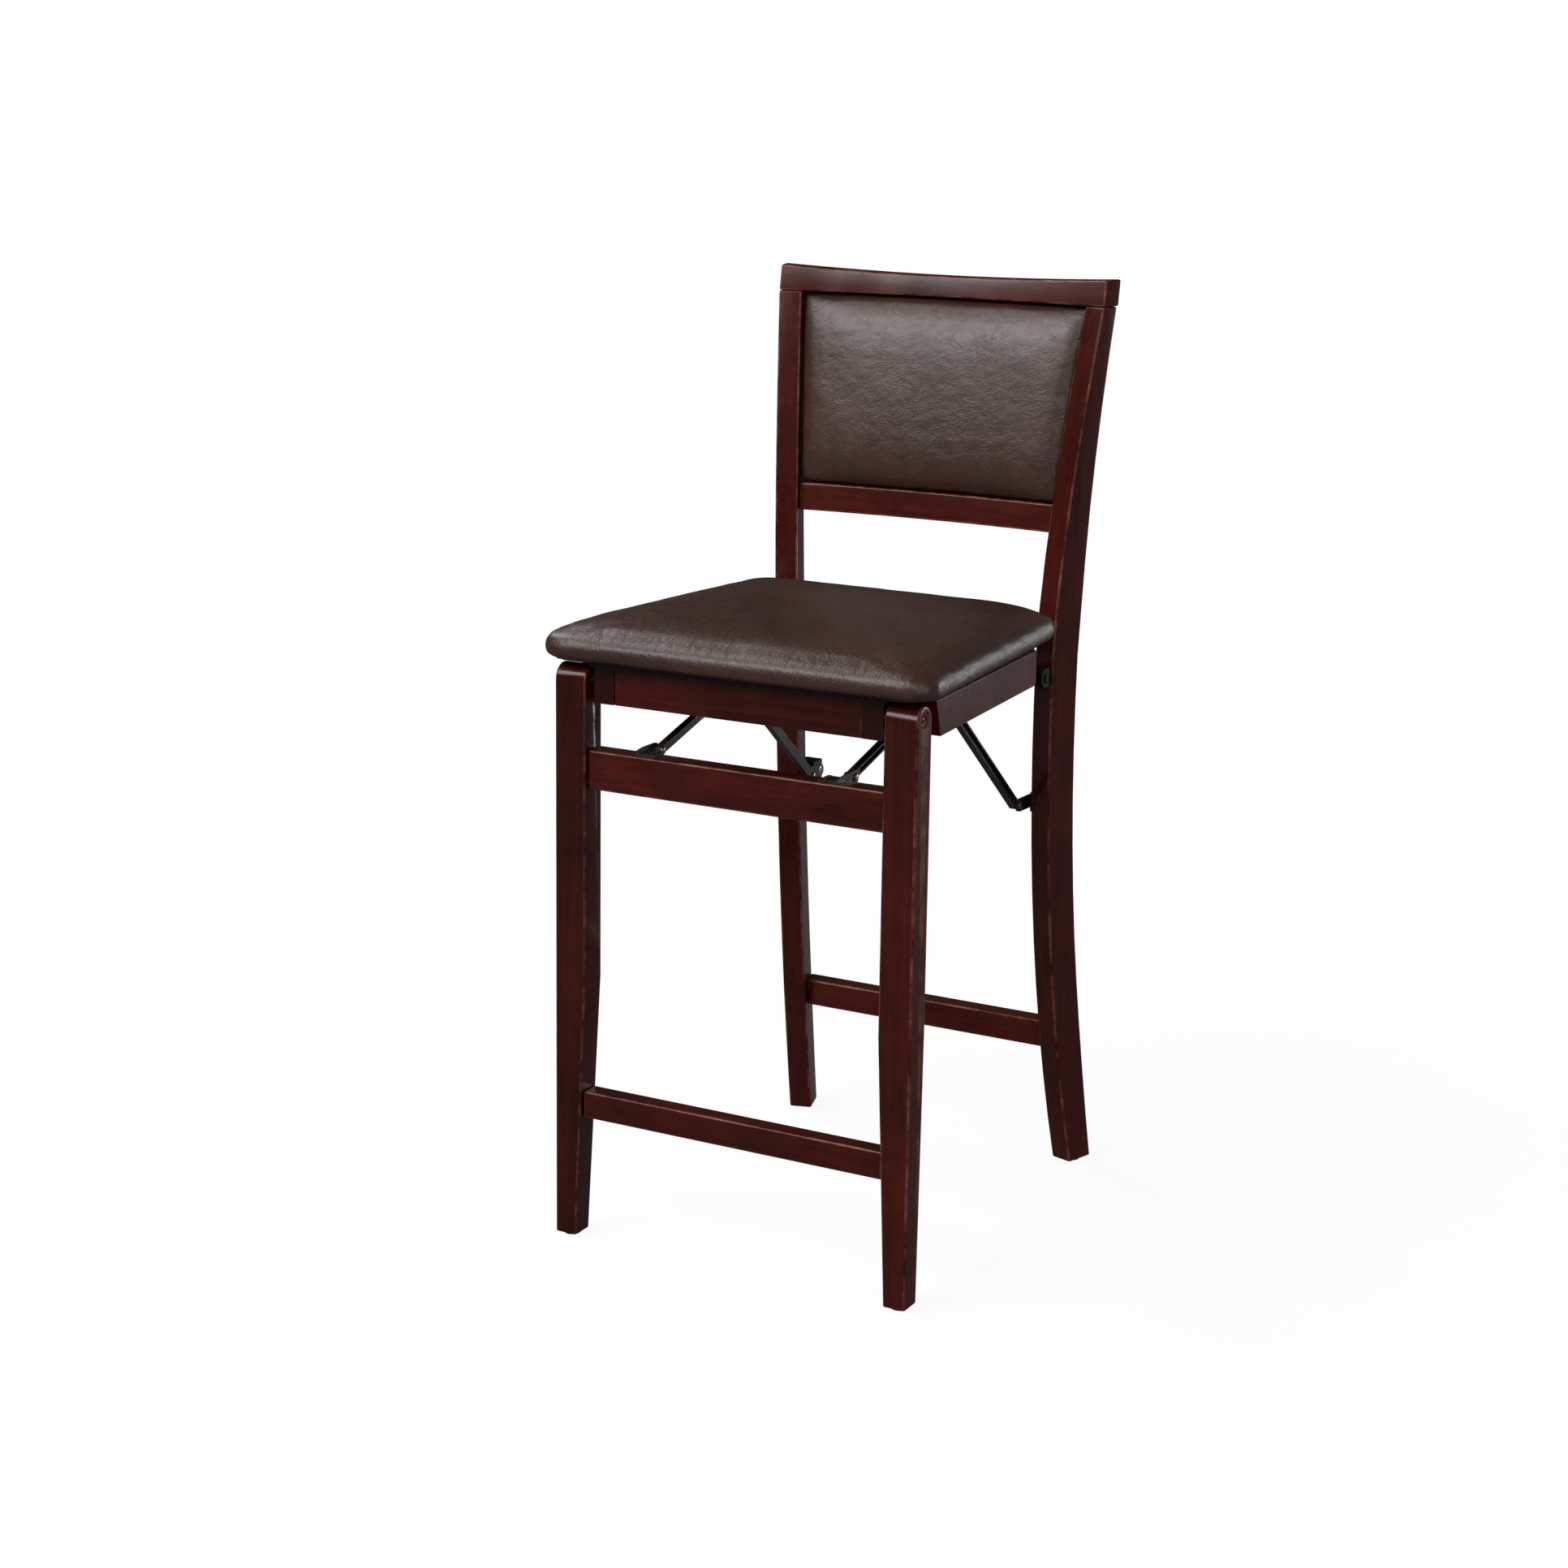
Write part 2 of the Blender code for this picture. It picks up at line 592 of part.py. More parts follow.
def build_side_rail(side_name, side):
    """A toed-in rail whose slanted front end clears the leg and whose rear corner is round."""
    corner = (SIDE_RAIL_REAR_Y - SIDE_RAIL_CORNER, RAIL_BOTTOM_Z + SIDE_RAIL_CORNER)
    outline = [(SIDE_RAIL_FRONT_Y, RAIL_TOP_Z), (SIDE_RAIL_FRONT_Y + SIDE_RAIL_FRONT_SLANT, RAIL_BOTTOM_Z)]
    outline += arc(corner, SIDE_RAIL_CORNER, 270, 360, 4) + [(SIDE_RAIL_REAR_Y, RAIL_TOP_Z)]
    sections = []
    for thickness in (0, SIDE_RAIL_THICKNESS):
        sections.append([(side * (side_rail_x(y) - thickness), y, z) for y, z in outline])
    rail = add_piece("side_rail_" + side_name, loft(sections), wood, "seat_axis",
                     (side * SIDE_RAIL_OUTER_X, SIDE_RAIL_FRONT_Y, RAIL_BOTTOM_Z))
    round_edges(rail, WOOD_ROUND / 2)


def build_front_corner(side_name, side):
    """The pivot block beside the front rail and the block that ties it to the side rail."""
    low, high = span(side, FRONT_RAIL_HALF + GAP, PIVOT_BLOCK_OUTER_X)
    block_rear = PIVOT_BLOCK_Y + PIVOT_BLOCK_DEPTH
    block = add_piece("pivot_block_" + side_name, box(low, high, PIVOT_BLOCK_Y, block_rear, RAIL_BOTTOM_Z,
                                                      RAIL_TOP_Z),
                      dark_wood, "seat_axis", (side * PIVOT_BLOCK_OUTER_X, PIVOT_Y, PIVOT_Z))
    round_edges(block, WOOD_ROUND / 2)
    low, high = span(side, FRONT_RAIL_HALF, PIVOT_BLOCK_OUTER_X + 0.002)
    bore(block, "cut_block_bore_" + side_name, PIVOT_BOLT_RADIUS + PIN_CLEARANCE, low, high, PIVOT_Y, PIVOT_Z)
    tie_front = block_rear + GAP
    tie_rear = tie_front + CORNER_BLOCK_DEPTH
    inner_x = FRONT_RAIL_HALF + GAP
    outer = [(side * (side_rail_x(y) - SIDE_RAIL_THICKNESS - GAP), y) for y in (tie_front, tie_rear)]
    outline = [(side * inner_x, tie_front), outer[0], outer[1], (side * (inner_x + CORNER_BLOCK_DEPTH * 0.4),
                                                                tie_rear)]
    tie = add_piece("corner_block_" + side_name, prism(outline, "Z", RAIL_BOTTOM_Z + WOOD_ROUND, RAIL_TOP_Z),
                    dark_wood, "seat_axis", (side * inner_x, tie_front, RAIL_BOTTOM_Z))
    round_edges(tie, WOOD_ROUND / 2)


def build_board():
    """The plywood under the cushion, notched round the front leg tops."""
    notch_x = FRONT_LEG_INNER_X - 0.003
    notch_y = FRONT_LEG_DEPTH + 0.005
    half_front = side_rail_x(notch_y) - BOARD_SIDE_INSET + SIDE_RAIL_THICKNESS / 2
    half_rear = side_rail_x(BOARD_REAR_Y) - BOARD_SIDE_INSET + SIDE_RAIL_THICKNESS / 2
    half = [(notch_x, BOARD_FRONT_Y), (notch_x, notch_y), (half_front, notch_y), (half_rear, BOARD_REAR_Y)]
    outline = half + [(-x, y) for x, y in reversed(half)]
    add_piece("seat_board", prism(outline, "Z", BOARD_Z, BOARD_Z + SEAT_BOARD_THICKNESS), board, "seat_axis",
              (0, BOARD_FRONT_Y, BOARD_Z))


def cushion_ring(inset, z):
    """The cushion's rounded outline, drawn in by an inset, at a height."""
    radius = max(CUSHION_CORNER - inset * 0.3, 0.006)
    front = CUSHION_FRONT_Y + inset
    rear = CUSHION_REAR_Y - inset

    def half(y):
        share = (y - CUSHION_FRONT_Y) / (CUSHION_REAR_Y - CUSHION_FRONT_Y)
        return CUSHION_FRONT_HALF + (CUSHION_REAR_HALF - CUSHION_FRONT_HALF) * share - inset

    corners = [((half(rear - radius) - radius, rear - radius), 0),
               ((-half(rear - radius) + radius, rear - radius), 90),
               ((-half(front + radius) + radius, front + radius), 180),
               ((half(front + radius) - radius, front + radius), 270)]
    points = []
    for index, (centre, start) in enumerate(corners):
        points += arc(centre, radius, start, start + 90, CUSHION_ARC_STEPS)
        after_centre, after_start = corners[(index + 1) % 4]
        after = arc(after_centre, radius, after_start, after_start + 90, 1)[0]
        here = points[-1]
        for step in range(1, CUSHION_SIDE_STEPS):
            share = step / CUSHION_SIDE_STEPS
            points.append((here[0] + (after[0] - here[0]) * share, here[1] + (after[1] - here[1]) * share))
    bowed = []
    for x, y in points:
        across = min(abs(x) / half(min(max(y, front), rear)), 1)
        swell = CUSHION_BOW * (1 - across ** 2) * (1 if y > (front + rear) / 2 else -1)
        end = min(abs(y - front), abs(rear - y)) < radius + 0.002
        bowed.append((x, y + (swell if end else 0), z))
    return bowed


def build_cushion():
    """Flat under, drawn in at the welt, fullest a third of the way up, and crowned on top."""
    underside = SEAT_UNDERSIDE_Z
    side_top = underside + CUSHION_SIDE
    rings = [cushion_ring(0.0100, underside), cushion_ring(0.0030, underside + 0.0015),
             cushion_ring(0.0006, underside + 0.006), cushion_ring(0.0000, underside + CUSHION_SIDE * 0.45),
             cushion_ring(0.0016, underside + CUSHION_SIDE * 0.72),
             cushion_ring(0.0060, underside + CUSHION_SIDE * 0.93), cushion_ring(0.0130, side_top + 0.0012)]
    reach = (CUSHION_REAR_Y - CUSHION_FRONT_Y) / 2
    for share in (0.14, 0.24, 0.37, 0.52, 0.70, 0.86):
        rise = 1 - (1 - share) ** 2.2
        rings.append(cushion_ring(reach * share, side_top + CUSHION_CROWN * rise))
    add_piece("seat_cushion", loft(rings), leather, "seat_axis", (0, CUSHION_FRONT_Y, underside))


def build_pivots(side_name, side):
    """The bolt that each front leg turns on, and the washer between leg and block."""
    head = FRONT_LEG_OUTER_X - COUNTERBORE_DEPTH + GAP
    tip = FRONT_RAIL_HALF + PIVOT_BLOCK_WIDTH * 0.1
    profile = [(side * tip, PIVOT_BOLT_RADIUS), (side * head, PIVOT_BOLT_RADIUS),
               (side * head, PIVOT_HEAD_RADIUS), (side * (head + PIVOT_HEAD_HEIGHT * 0.6), PIVOT_HEAD_RADIUS),
               (side * (head + PIVOT_HEAD_HEIGHT), PIVOT_HEAD_RADIUS * 0.6)]
    add_piece("pivot_bolt_" + side_name, turned(profile, PIVOT_Y, PIVOT_Z), steel, "seat_axis",
              (side * head, PIVOT_Y, PIVOT_Z))
    inner = PIVOT_BLOCK_OUTER_X + GAP
    outer = FRONT_LEG_INNER_X - GAP
    hole = PIVOT_BOLT_RADIUS + PIN_CLEARANCE
    rings = [(side * inner, hole), (side * outer, hole), (side * outer, WASHER_RADIUS), (side * inner, WASHER_RADIUS)]
    sections = [[(x, PIVOT_Y + pair[0], PIVOT_Z + pair[1]) for pair in arc((0, 0), radius, 0, 360, 24)[:-1]]
                for x, radius in rings]
    add_piece("pivot_washer_" + side_name, loft(sections, closed=True), steel, "seat_axis",
              (side * inner, PIVOT_Y, PIVOT_Z))


def build_rear_hinge(side_name, side):
    """A clevis on the rear leg, a tongue on the seat frame and the pin through both."""
    outer_x = HINGE_INNER_X + HINGE_WIDTH
    low_z = HINGE_Z - HINGE_HEIGHT / 2
    high_z = HINGE_Z + HINGE_HEIGHT / 2

    def seat_y(x, z):
        return rear_front_y(x, z) - GAP

    sections = []
    for x in (HINGE_INNER_X, outer_x):
        rear = [(side * x, seat_y(x, low_z), low_z), (side * x, seat_y(x, high_z), high_z)]
        nose = [(side * x, y, z) for y, z in arc((HINGE_Y, HINGE_Z), HINGE_HEIGHT / 2, 90, 270, 10)]
        sections.append(rear + nose)
    clevis = add_piece("leg_hinge_" + side_name, loft(sections), metal, "stool",
                       (side * HINGE_INNER_X, HINGE_Y, HINGE_Z))
    middle = HINGE_INNER_X + HINGE_WIDTH / 2
    slot_half = HINGE_TONGUE / 2 + GAP
    low, high = span(side, middle - slot_half, middle + slot_half)
    slot_rear = HINGE_Y + HINGE_RADIUS + 0.0012
    cut(clevis, "cut_hinge_slot_" + side_name, box(low, high, HINGE_Y - HINGE_HEIGHT, slot_rear, low_z - 0.01, high_z + 0.01))
    low, high = span(side, HINGE_INNER_X - 0.002, outer_x + 0.002)
    pin_bore = HINGE_PIN_RADIUS + PIN_CLEARANCE
    bore(clevis, "cut_hinge_bore_" + side_name, pin_bore, low, high, HINGE_Y, HINGE_Z)
    low, high = span(side, middle - HINGE_TONGUE / 2, middle + HINGE_TONGUE / 2)
    root = REAR_RAIL_Y + REAR_RAIL_DEPTH + GAP
    bend = HINGE_Y - HINGE_RADIUS * 2
    outline = [(root, RAIL_TOP_Z), (root, HINGE_Z - HINGE_RADIUS)]
    outline += arc((HINGE_Y, HINGE_Z), HINGE_RADIUS, -90, 90, 8) + [(bend, HINGE_Z + HINGE_RADIUS * 2),
                                                                   (bend - HINGE_RADIUS, RAIL_TOP_Z)]
    tongue = add_piece("hinge_tongue_" + side_name, prism(outline, "X", low, high), metal, "seat_axis",
                       (side * middle, HINGE_Y, HINGE_Z))
    bore(tongue, "cut_tongue_bore_" + side_name, pin_bore, low - 0.002, high + 0.002, HINGE_Y, HINGE_Z)
    ends = (HINGE_INNER_X - RIVET_HEAD_HEIGHT, HINGE_INNER_X - GAP, outer_x + GAP, outer_x + RIVET_HEAD_HEIGHT)
    profile = [(side * ends[0], HINGE_PIN_RADIUS * 1.4), (side * ends[1], HINGE_PIN_RADIUS * 1.8),
               (side * ends[1], HINGE_PIN_RADIUS), (side * ends[2], HINGE_PIN_RADIUS),
               (side * ends[2], HINGE_PIN_RADIUS * 1.8), (side * ends[3], HINGE_PIN_RADIUS * 1.4)]
    add_piece("hinge_pin_" + side_name, turned(profile, HINGE_Y, HINGE_Z), steel, "stool",
              (side * middle, HINGE_Y, HINGE_Z))


def rivet(name, side, near, far, y, z, parent):
    """A rivet with a domed head at each end of the span from near to far."""
    head = RIVET_HEAD_HEIGHT
    profile = [(near - GAP - head, RIVET_HEAD_RADIUS * 0.55), (near - GAP - head * 0.5, RIVET_HEAD_RADIUS * 0.9),
               (near - GAP, RIVET_HEAD_RADIUS), (near - GAP, RIVET_RADIUS), (far + GAP, RIVET_RADIUS),
               (far + GAP, RIVET_HEAD_RADIUS), (far + GAP + head * 0.5, RIVET_HEAD_RADIUS * 0.9),
               (far + GAP + head, RIVET_HEAD_RADIUS * 0.55)]
    profile = [(side * x, radius) for x, radius in profile]
    add_piece(name, turned(profile, y, z, 16), steel, parent, (side * near, y, z))


def build_rear_brace(side_name, side):
    """Leg bracket, short link, knee rivet and the long grooved bar."""
    bar_inner = BRACE_X - BAR_WIDTH / 2
    bar_outer = BRACE_X + BAR_WIDTH / 2
    link_inner = bar_outer + BRACKET_EAR_INSET
    link_outer = link_inner + LINK_THICKNESS
    ear_x = link_outer + BRACKET_EAR_INSET
    hole = RIVET_RADIUS + PIN_CLEARANCE

    low_z = LINK_Z - BRACKET_HALF_HEIGHT
    high_z = LINK_Z + BRACKET_HALF_HEIGHT
    near_y = LINK_Y - BRACKET_HALF_DEPTH
    far_y = LINK_Y + BRACKET_HALF_DEPTH
    sections = []
    for z in (low_z, high_z):
        sections.append([(side * ear_x, near_y, z), (side * (rear_inner_x(near_y, z) - GAP), near_y, z),
                         (side * (rear_inner_x(far_y, z) - GAP), far_y, z), (side * ear_x, far_y, z)])
    bracket = add_piece("brace_bracket_" + side_name, loft(sections), metal, "stool",
                        (side * ear_x, LINK_Y, LINK_Z))
    round_edges(bracket, SMALL_ROUND, 1)
    pin_end = ear_x + 0.005
    low, high = span(side, ear_x - 0.002, pin_end + 0.001)
    bore(bracket, "cut_bracket_bore_" + side_name, hole, low, high, LINK_Y, LINK_Z)

    seat_x = link_inner + PIN_HEAD_SINK
    profile = [(link_inner, RIVET_HEAD_RADIUS), (seat_x - GAP, RIVET_HEAD_RADIUS), (seat_x - GAP, RIVET_RADIUS),
               (pin_end, RIVET_RADIUS)]
    add_piece("brace_link_pin_" + side_name, turned([(side * x, radius) for x, radius in profile], LINK_Y, LINK_Z, 16),
              steel, "stool", (side * ear_x, LINK_Y, LINK_Z))

    low, high = span(side, link_inner, link_outer)
    outline = stadium((KNEE_Y, KNEE_Z), (LINK_Y, LINK_Z), LINK_RADIUS)
    link = add_piece("brace_link_" + side_name, prism(outline, "X", low, high), metal, "link_axis_" + side_name,
                     (side * link_inner, LINK_Y, LINK_Z))
    bore(link, "cut_link_leg_bore_" + side_name, hole, low - 0.002, high + 0.002, LINK_Y, LINK_Z)
    low, high = span(side, link_inner - 0.002, seat_x)
    bore(link, "cut_link_sink_" + side_name, RIVET_HEAD_RADIUS + PIN_CLEARANCE, low, high, LINK_Y, LINK_Z)
    low, high = span(side, link_inner, link_outer)
    bore(link, "cut_link_knee_bore_" + side_name, hole, low - 0.002, high + 0.002, KNEE_Y, KNEE_Z)
    rivet("knee_rivet_" + side_name, side, bar_inner, link_outer, KNEE_Y, KNEE_Z, "link_axis_" + side_name)

    low, high = span(side, bar_inner, bar_outer)
    outline = stadium((KNEE_Y, KNEE_Z), (BAR_REST_Y, TRACK_Z), BAR_DEPTH / 2)
    bar = add_piece("brace_bar_" + side_name, prism(outline, "X", low, high), metal, "knee_axis_" + side_name,
                    (side * BRACE_X, KNEE_Y, KNEE_Z))
    bore(bar, "cut_bar_bore_" + side_name, hole, low - 0.002, high + 0.002, KNEE_Y, KNEE_Z)
    groove(bar, "cut_bar_groove_" + side_name, side, bar_outer, (KNEE_Y, KNEE_Z), (BAR_REST_Y, TRACK_Z),
           BAR_GROOVE_HEIGHT)


def groove(piece, name, side, face_x, first, second, height):
    """Cut the open channel along a bar's outer face, short of both pivots."""
    direction = Vector((second[0] - first[0], second[1] - first[1])).normalized()
    start = Vector(first) + direction * BAR_GROOVE_END
    end = Vector(second) - direction * BAR_GROOVE_END
    across = Vector((-direction[1], direction[0])) * height / 2
    outline = [tuple(start + across), tuple(start - across), tuple(end - across), tuple(end + across)]
    low, high = span(side, face_x - BAR_GROOVE_DEPTH, face_x + 0.002)
    cut(piece, name, prism(outline, "X", low, high))


def build_front_stay(side_name, side):
    """The bracket on the upper rung, its pin and the grooved stay."""
    stay_inner = STAY_X - BAR_WIDTH / 2
    stay_outer = STAY_X + BAR_WIDTH / 2
    ear_near = stay_outer + BRACKET_EAR_INSET
    ear_far = ear_near + RUNG_EAR_THICKNESS
    plate_z = UPPER_RUNG_Z + UPPER_RUNG_HEIGHT + GAP
    rung_rear = RUNG_SETBACK + UPPER_RUNG_DEPTH
    hole = RIVET_RADIUS + PIN_CLEARANCE
    plate_top = plate_z + RUNG_PLATE_THICKNESS
    nose = arc((STAY_PIVOT_Y, STAY_PIVOT_Z), LINK_RADIUS, 90, -90, 8)
    ear = [(RUNG_PLATE_FRONT_Y, plate_z), (RUNG_PLATE_FRONT_Y, plate_top + RUNG_PLATE_THICKNESS)]
    ear += [(rung_rear - LINK_RADIUS, STAY_PIVOT_Z + LINK_RADIUS)] + nose
    ear += [(rung_rear + GAP, STAY_PIVOT_Z - LINK_RADIUS), (rung_rear + GAP, plate_z)]
    low, high = span(side, ear_near, ear_far)
    bracket = add_piece("rung_bracket_" + side_name, prism(ear, "X", low, high), metal, "front_axis",
                        (side * ear_near, STAY_PIVOT_Y, STAY_PIVOT_Z))
    low, high = span(side, ear_near + RUNG_EAR_THICKNESS / 2, ear_near - RUNG_PLATE_WIDTH)
    foot = add_piece("cut_rung_plate_" + side_name, box(low, high, RUNG_PLATE_FRONT_Y, rung_rear, plate_z, plate_top),
                     metal, "stool", (0, 0, 0), smooth=False)
    foot.hide_render = True
    foot.display_type = "WIRE"
    join = bracket.modifiers.new("join_plate", "BOOLEAN")
    join.operation = "UNION"
    join.solver = "EXACT"
    join.object = foot
    low, high = span(side, ear_near - 0.002, ear_far + 0.002)
    bore(bracket, "cut_rung_bracket_bore_" + side_name, hole, low, high, STAY_PIVOT_Y, STAY_PIVOT_Z)
    rivet("stay_pin_" + side_name, side, stay_inner, ear_far, STAY_PIVOT_Y, STAY_PIVOT_Z, "front_axis")

    low, high = span(side, stay_inner, stay_outer)
    outline = stadium((STAY_PIVOT_Y, STAY_PIVOT_Z), (STAY_REST_Y, TRACK_Z), STAY_DEPTH / 2)
    stay = add_piece("front_stay_" + side_name, prism(outline, "X", low, high), metal, "stay_axis_" + side_name,
                     (side * STAY_X, STAY_PIVOT_Y, STAY_PIVOT_Z))
    bore(stay, "cut_stay_bore_" + side_name, hole, low - 0.002, high + 0.002, STAY_PIVOT_Y, STAY_PIVOT_Z)
    groove(stay, "cut_stay_groove_" + side_name, side, stay_outer, (STAY_PIVOT_Y, STAY_PIVOT_Z),
           (STAY_REST_Y, TRACK_Z), STAY_DEPTH - 0.0032)


def build_track(side_name, side):
    """A two-lane channel, open downwards, that the bar and stay ends run in, and the batten that holds it."""
    lane = BAR_WIDTH / 2 + TRACK_SIDE_CLEARANCE
    web_low = TRACK_Z + BAR_DEPTH / 2 + TRACK_TOP_CLEARANCE
    web_high = web_low + TRACK_WALL
    lip = TRACK_Z - TRACK_LIP
    near = STAY_X - lane - TRACK_WALL
    far = BRACE_X + lane + TRACK_WALL
    profile = [(near, web_high), (near, lip), (STAY_X - lane, lip), (STAY_X - lane, web_low),
               (STAY_X + lane, web_low), (STAY_X + lane, lip), (BRACE_X - lane, lip), (BRACE_X - lane, web_low),
               (BRACE_X + lane, web_low), (BRACE_X + lane, lip), (far, lip), (far, web_high)]
    outline = [(side * x, z) for x, z in profile]
    add_piece("brace_track_" + side_name, prism(outline, "Y", TRACK_FRONT_Y, TRACK_REAR_Y), metal, "seat_axis",
              (side * BRACE_X, TRACK_FRONT_Y, TRACK_Z))
    low, high = span(side, near, far)
    batten = add_piece("track_batten_" + side_name, box(low, high, TRACK_FRONT_Y, TRACK_REAR_Y, web_high + GAP,
                                                        BOARD_Z - GAP),
                       dark_wood, "seat_axis", (side * BRACE_X, TRACK_FRONT_Y, web_high))
    round_edges(batten, WOOD_ROUND / 2)


for existing in list(bpy.data.objects):
    bpy.data.objects.remove(existing, do_unlink=True)

wood = make_material("espresso_wood", (0.060, 0.016, 0.012), 0.32)
dark_wood = make_material("dark_wood", (0.028, 0.010, 0.009), 0.45)
board = make_material("black_board", (0.012, 0.011, 0.011), 0.80)
leather = make_material("brown_leather", (0.042, 0.027, 0.022), 0.42)
metal = make_material("black_metal", (0.020, 0.019, 0.019), 0.38, 0.85)
steel = make_material("dark_steel", (0.110, 0.100, 0.095), 0.35, 0.95)
glide_material = make_material("glide_plastic", (0.030, 0.028, 0.027), 0.55)

make_axis("stool", 0, 0, 0)
make_axis("seat_axis", 0, HINGE_Y, HINGE_Z, "stool")
make_axis("front_axis", 0, PIVOT_Y, PIVOT_Z, "seat_axis")
for side_name, side in SIDES:
    make_axis("link_axis_" + side_name, side * BRACE_X, LINK_Y, LINK_Z, "stool")
    make_axis("knee_axis_" + side_name, side * BRACE_X, KNEE_Y, KNEE_Z, "link_axis_" + side_name)
    make_axis("stay_axis_" + side_name, side * STAY_X, STAY_PIVOT_Y, STAY_PIVOT_Z, "front_axis")

for side_name, side in SIDES:
    build_rear_leg(side_name, side)
build_back()
build_seat_frame()
build_cushion()
for side_name, side in SIDES:
    build_front_leg(side_name, side)
    build_pivots(side_name, side)
    build_rear_hinge(side_name, side)
    build_rear_brace(side_name, side)
    build_front_stay(side_name, side)
    build_track(side_name, side)
build_front_rung("upper_front_rung", UPPER_RUNG_Z, UPPER_RUNG_HEIGHT, UPPER_RUNG_DEPTH)
build_front_rung("lower_front_rung", LOWER_RUNG_Z, LOWER_RUNG_HEIGHT, LOWER_RUNG_DEPTH)
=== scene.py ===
import json
import math

import bpy
import numpy as np
from bpy.props import FloatProperty, FloatVectorProperty, PointerProperty
from mathutils import Matrix, Vector, noise

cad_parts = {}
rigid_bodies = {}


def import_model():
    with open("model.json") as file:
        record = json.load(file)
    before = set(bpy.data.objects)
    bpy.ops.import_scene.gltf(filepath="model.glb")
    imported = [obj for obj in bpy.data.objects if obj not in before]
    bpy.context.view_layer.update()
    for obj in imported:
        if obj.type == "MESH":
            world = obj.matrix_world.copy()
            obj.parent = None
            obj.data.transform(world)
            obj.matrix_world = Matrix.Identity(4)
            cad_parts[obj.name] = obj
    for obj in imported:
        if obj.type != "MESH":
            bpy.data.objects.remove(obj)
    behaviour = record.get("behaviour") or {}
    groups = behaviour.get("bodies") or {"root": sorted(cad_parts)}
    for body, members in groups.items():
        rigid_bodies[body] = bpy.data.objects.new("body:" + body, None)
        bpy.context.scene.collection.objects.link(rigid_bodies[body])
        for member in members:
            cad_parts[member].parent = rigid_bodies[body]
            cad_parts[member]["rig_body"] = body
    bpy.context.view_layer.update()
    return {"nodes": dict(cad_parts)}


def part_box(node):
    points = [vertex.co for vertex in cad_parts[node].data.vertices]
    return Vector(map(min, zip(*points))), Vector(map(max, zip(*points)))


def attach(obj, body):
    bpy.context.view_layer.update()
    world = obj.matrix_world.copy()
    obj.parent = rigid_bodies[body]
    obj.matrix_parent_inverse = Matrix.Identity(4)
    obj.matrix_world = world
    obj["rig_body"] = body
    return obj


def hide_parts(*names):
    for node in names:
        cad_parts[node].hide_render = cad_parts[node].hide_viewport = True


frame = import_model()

bl_info = {
    "name": "Folding counter stool finish",
    "version": (1, 0, 0),
    "blender": (4, 5, 0),
    "location": "3D View > Sidebar > Stool",
    "description": "Upholstery, wood finish, fastenings and studio round a folding counter stool",
    "category": "Object",
}

SIDES = (("left", -1), ("right", 1))

# Heights and faces that the frame gives
SEAT_LOW, SEAT_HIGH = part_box("seat_cushion")
PAD_LOW, PAD_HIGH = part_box("back_pad")

# Wooden pieces by the direction their grain runs in, with a shade for each: partly tone that differs between
# boards, partly painted light and shade set to how light falls on each piece
WOOD_GRAIN = {
    "front_leg_left": ("Z", 0.68), "front_leg_right": ("Z", 0.96),
    "rear_leg_left": ("Z", 1.04), "rear_leg_right": ("Z", 0.94),
    "upper_front_rung": ("X", 0.92), "lower_front_rung": ("X", 0.84),
    "rear_rung": ("X", 1.20), "crest_rail": ("X", 0.96), "lower_back_rail": ("X", 1.02),
    "front_rail": ("X", 0.76), "rear_rail": ("X", 0.80),
    "side_rail_left": ("Y", 1.05), "side_rail_right": ("Y", 1.20),
}
# Pieces under the seat, darkened with painted shade
SHADED_WOOD_GRAIN = {
    "pivot_block_left": ("Y", 0.40), "pivot_block_right": ("Y", 0.36),
    "corner_block_left": ("Y", 0.55), "corner_block_right": ("Y", 0.55),
    "track_batten_left": ("Y", 0.50), "track_batten_right": ("Y", 0.50),
}
BLACK_METAL = ("brace_bracket", "brace_link", "brace_bar", "rung_bracket", "front_stay")
DULL_METAL = ("leg_hinge", "hinge_tongue", "hinge_pin", "brace_track", "pivot_washer")
BRIGHT_METAL = ("brace_link_pin", "knee_rivet", "stay_pin")
GLIDES = ("front_glide", "rear_glide")

# Finishes that aren't settings: the colour, and the colour where it is rubbed
# Black oxide, its colour partly real oxide and partly painted shade for the hinge and track under the seat
OXIDE_AND_PAINTED_SHADE = ((0.0036, 0.0024, 0.0022), (0.014, 0.010, 0.009))
PLATING = ((0.30, 0.27, 0.25), (0.62, 0.60, 0.57))
STAPLE_WIRE = ((0.20, 0.19, 0.18), (0.55, 0.54, 0.52))
RUBBED_COPPER = (0.46, 0.22, 0.14)
NYLON = (0.020, 0.018, 0.017)
LINING = (0.0070, 0.0062, 0.0060)

# Copies of CAD meshes: points this close are joined, and strips this narrow are arrises
MERGE_DISTANCE = 0.00002
ARRIS_WIDTH = 0.0032
METAL_ARRIS = 0.0009

# Covers: cloth settings, frames of stuffing, and for each the shrink before it and the air pressure in it
CLOTH = {
    "quality": 5, "mass": 0.35, "tension_stiffness": 22, "compression_stiffness": 22,
    "shear_stiffness": 12, "bending_stiffness": 1.2, "use_pressure": True,
}
STUFFING_FRAMES = 14
SEAT_SHRINK, SEAT_PRESSURE = 0.0020, 4.0
PAD_SHRINK, PAD_PRESSURE = 0.0015, 3.5

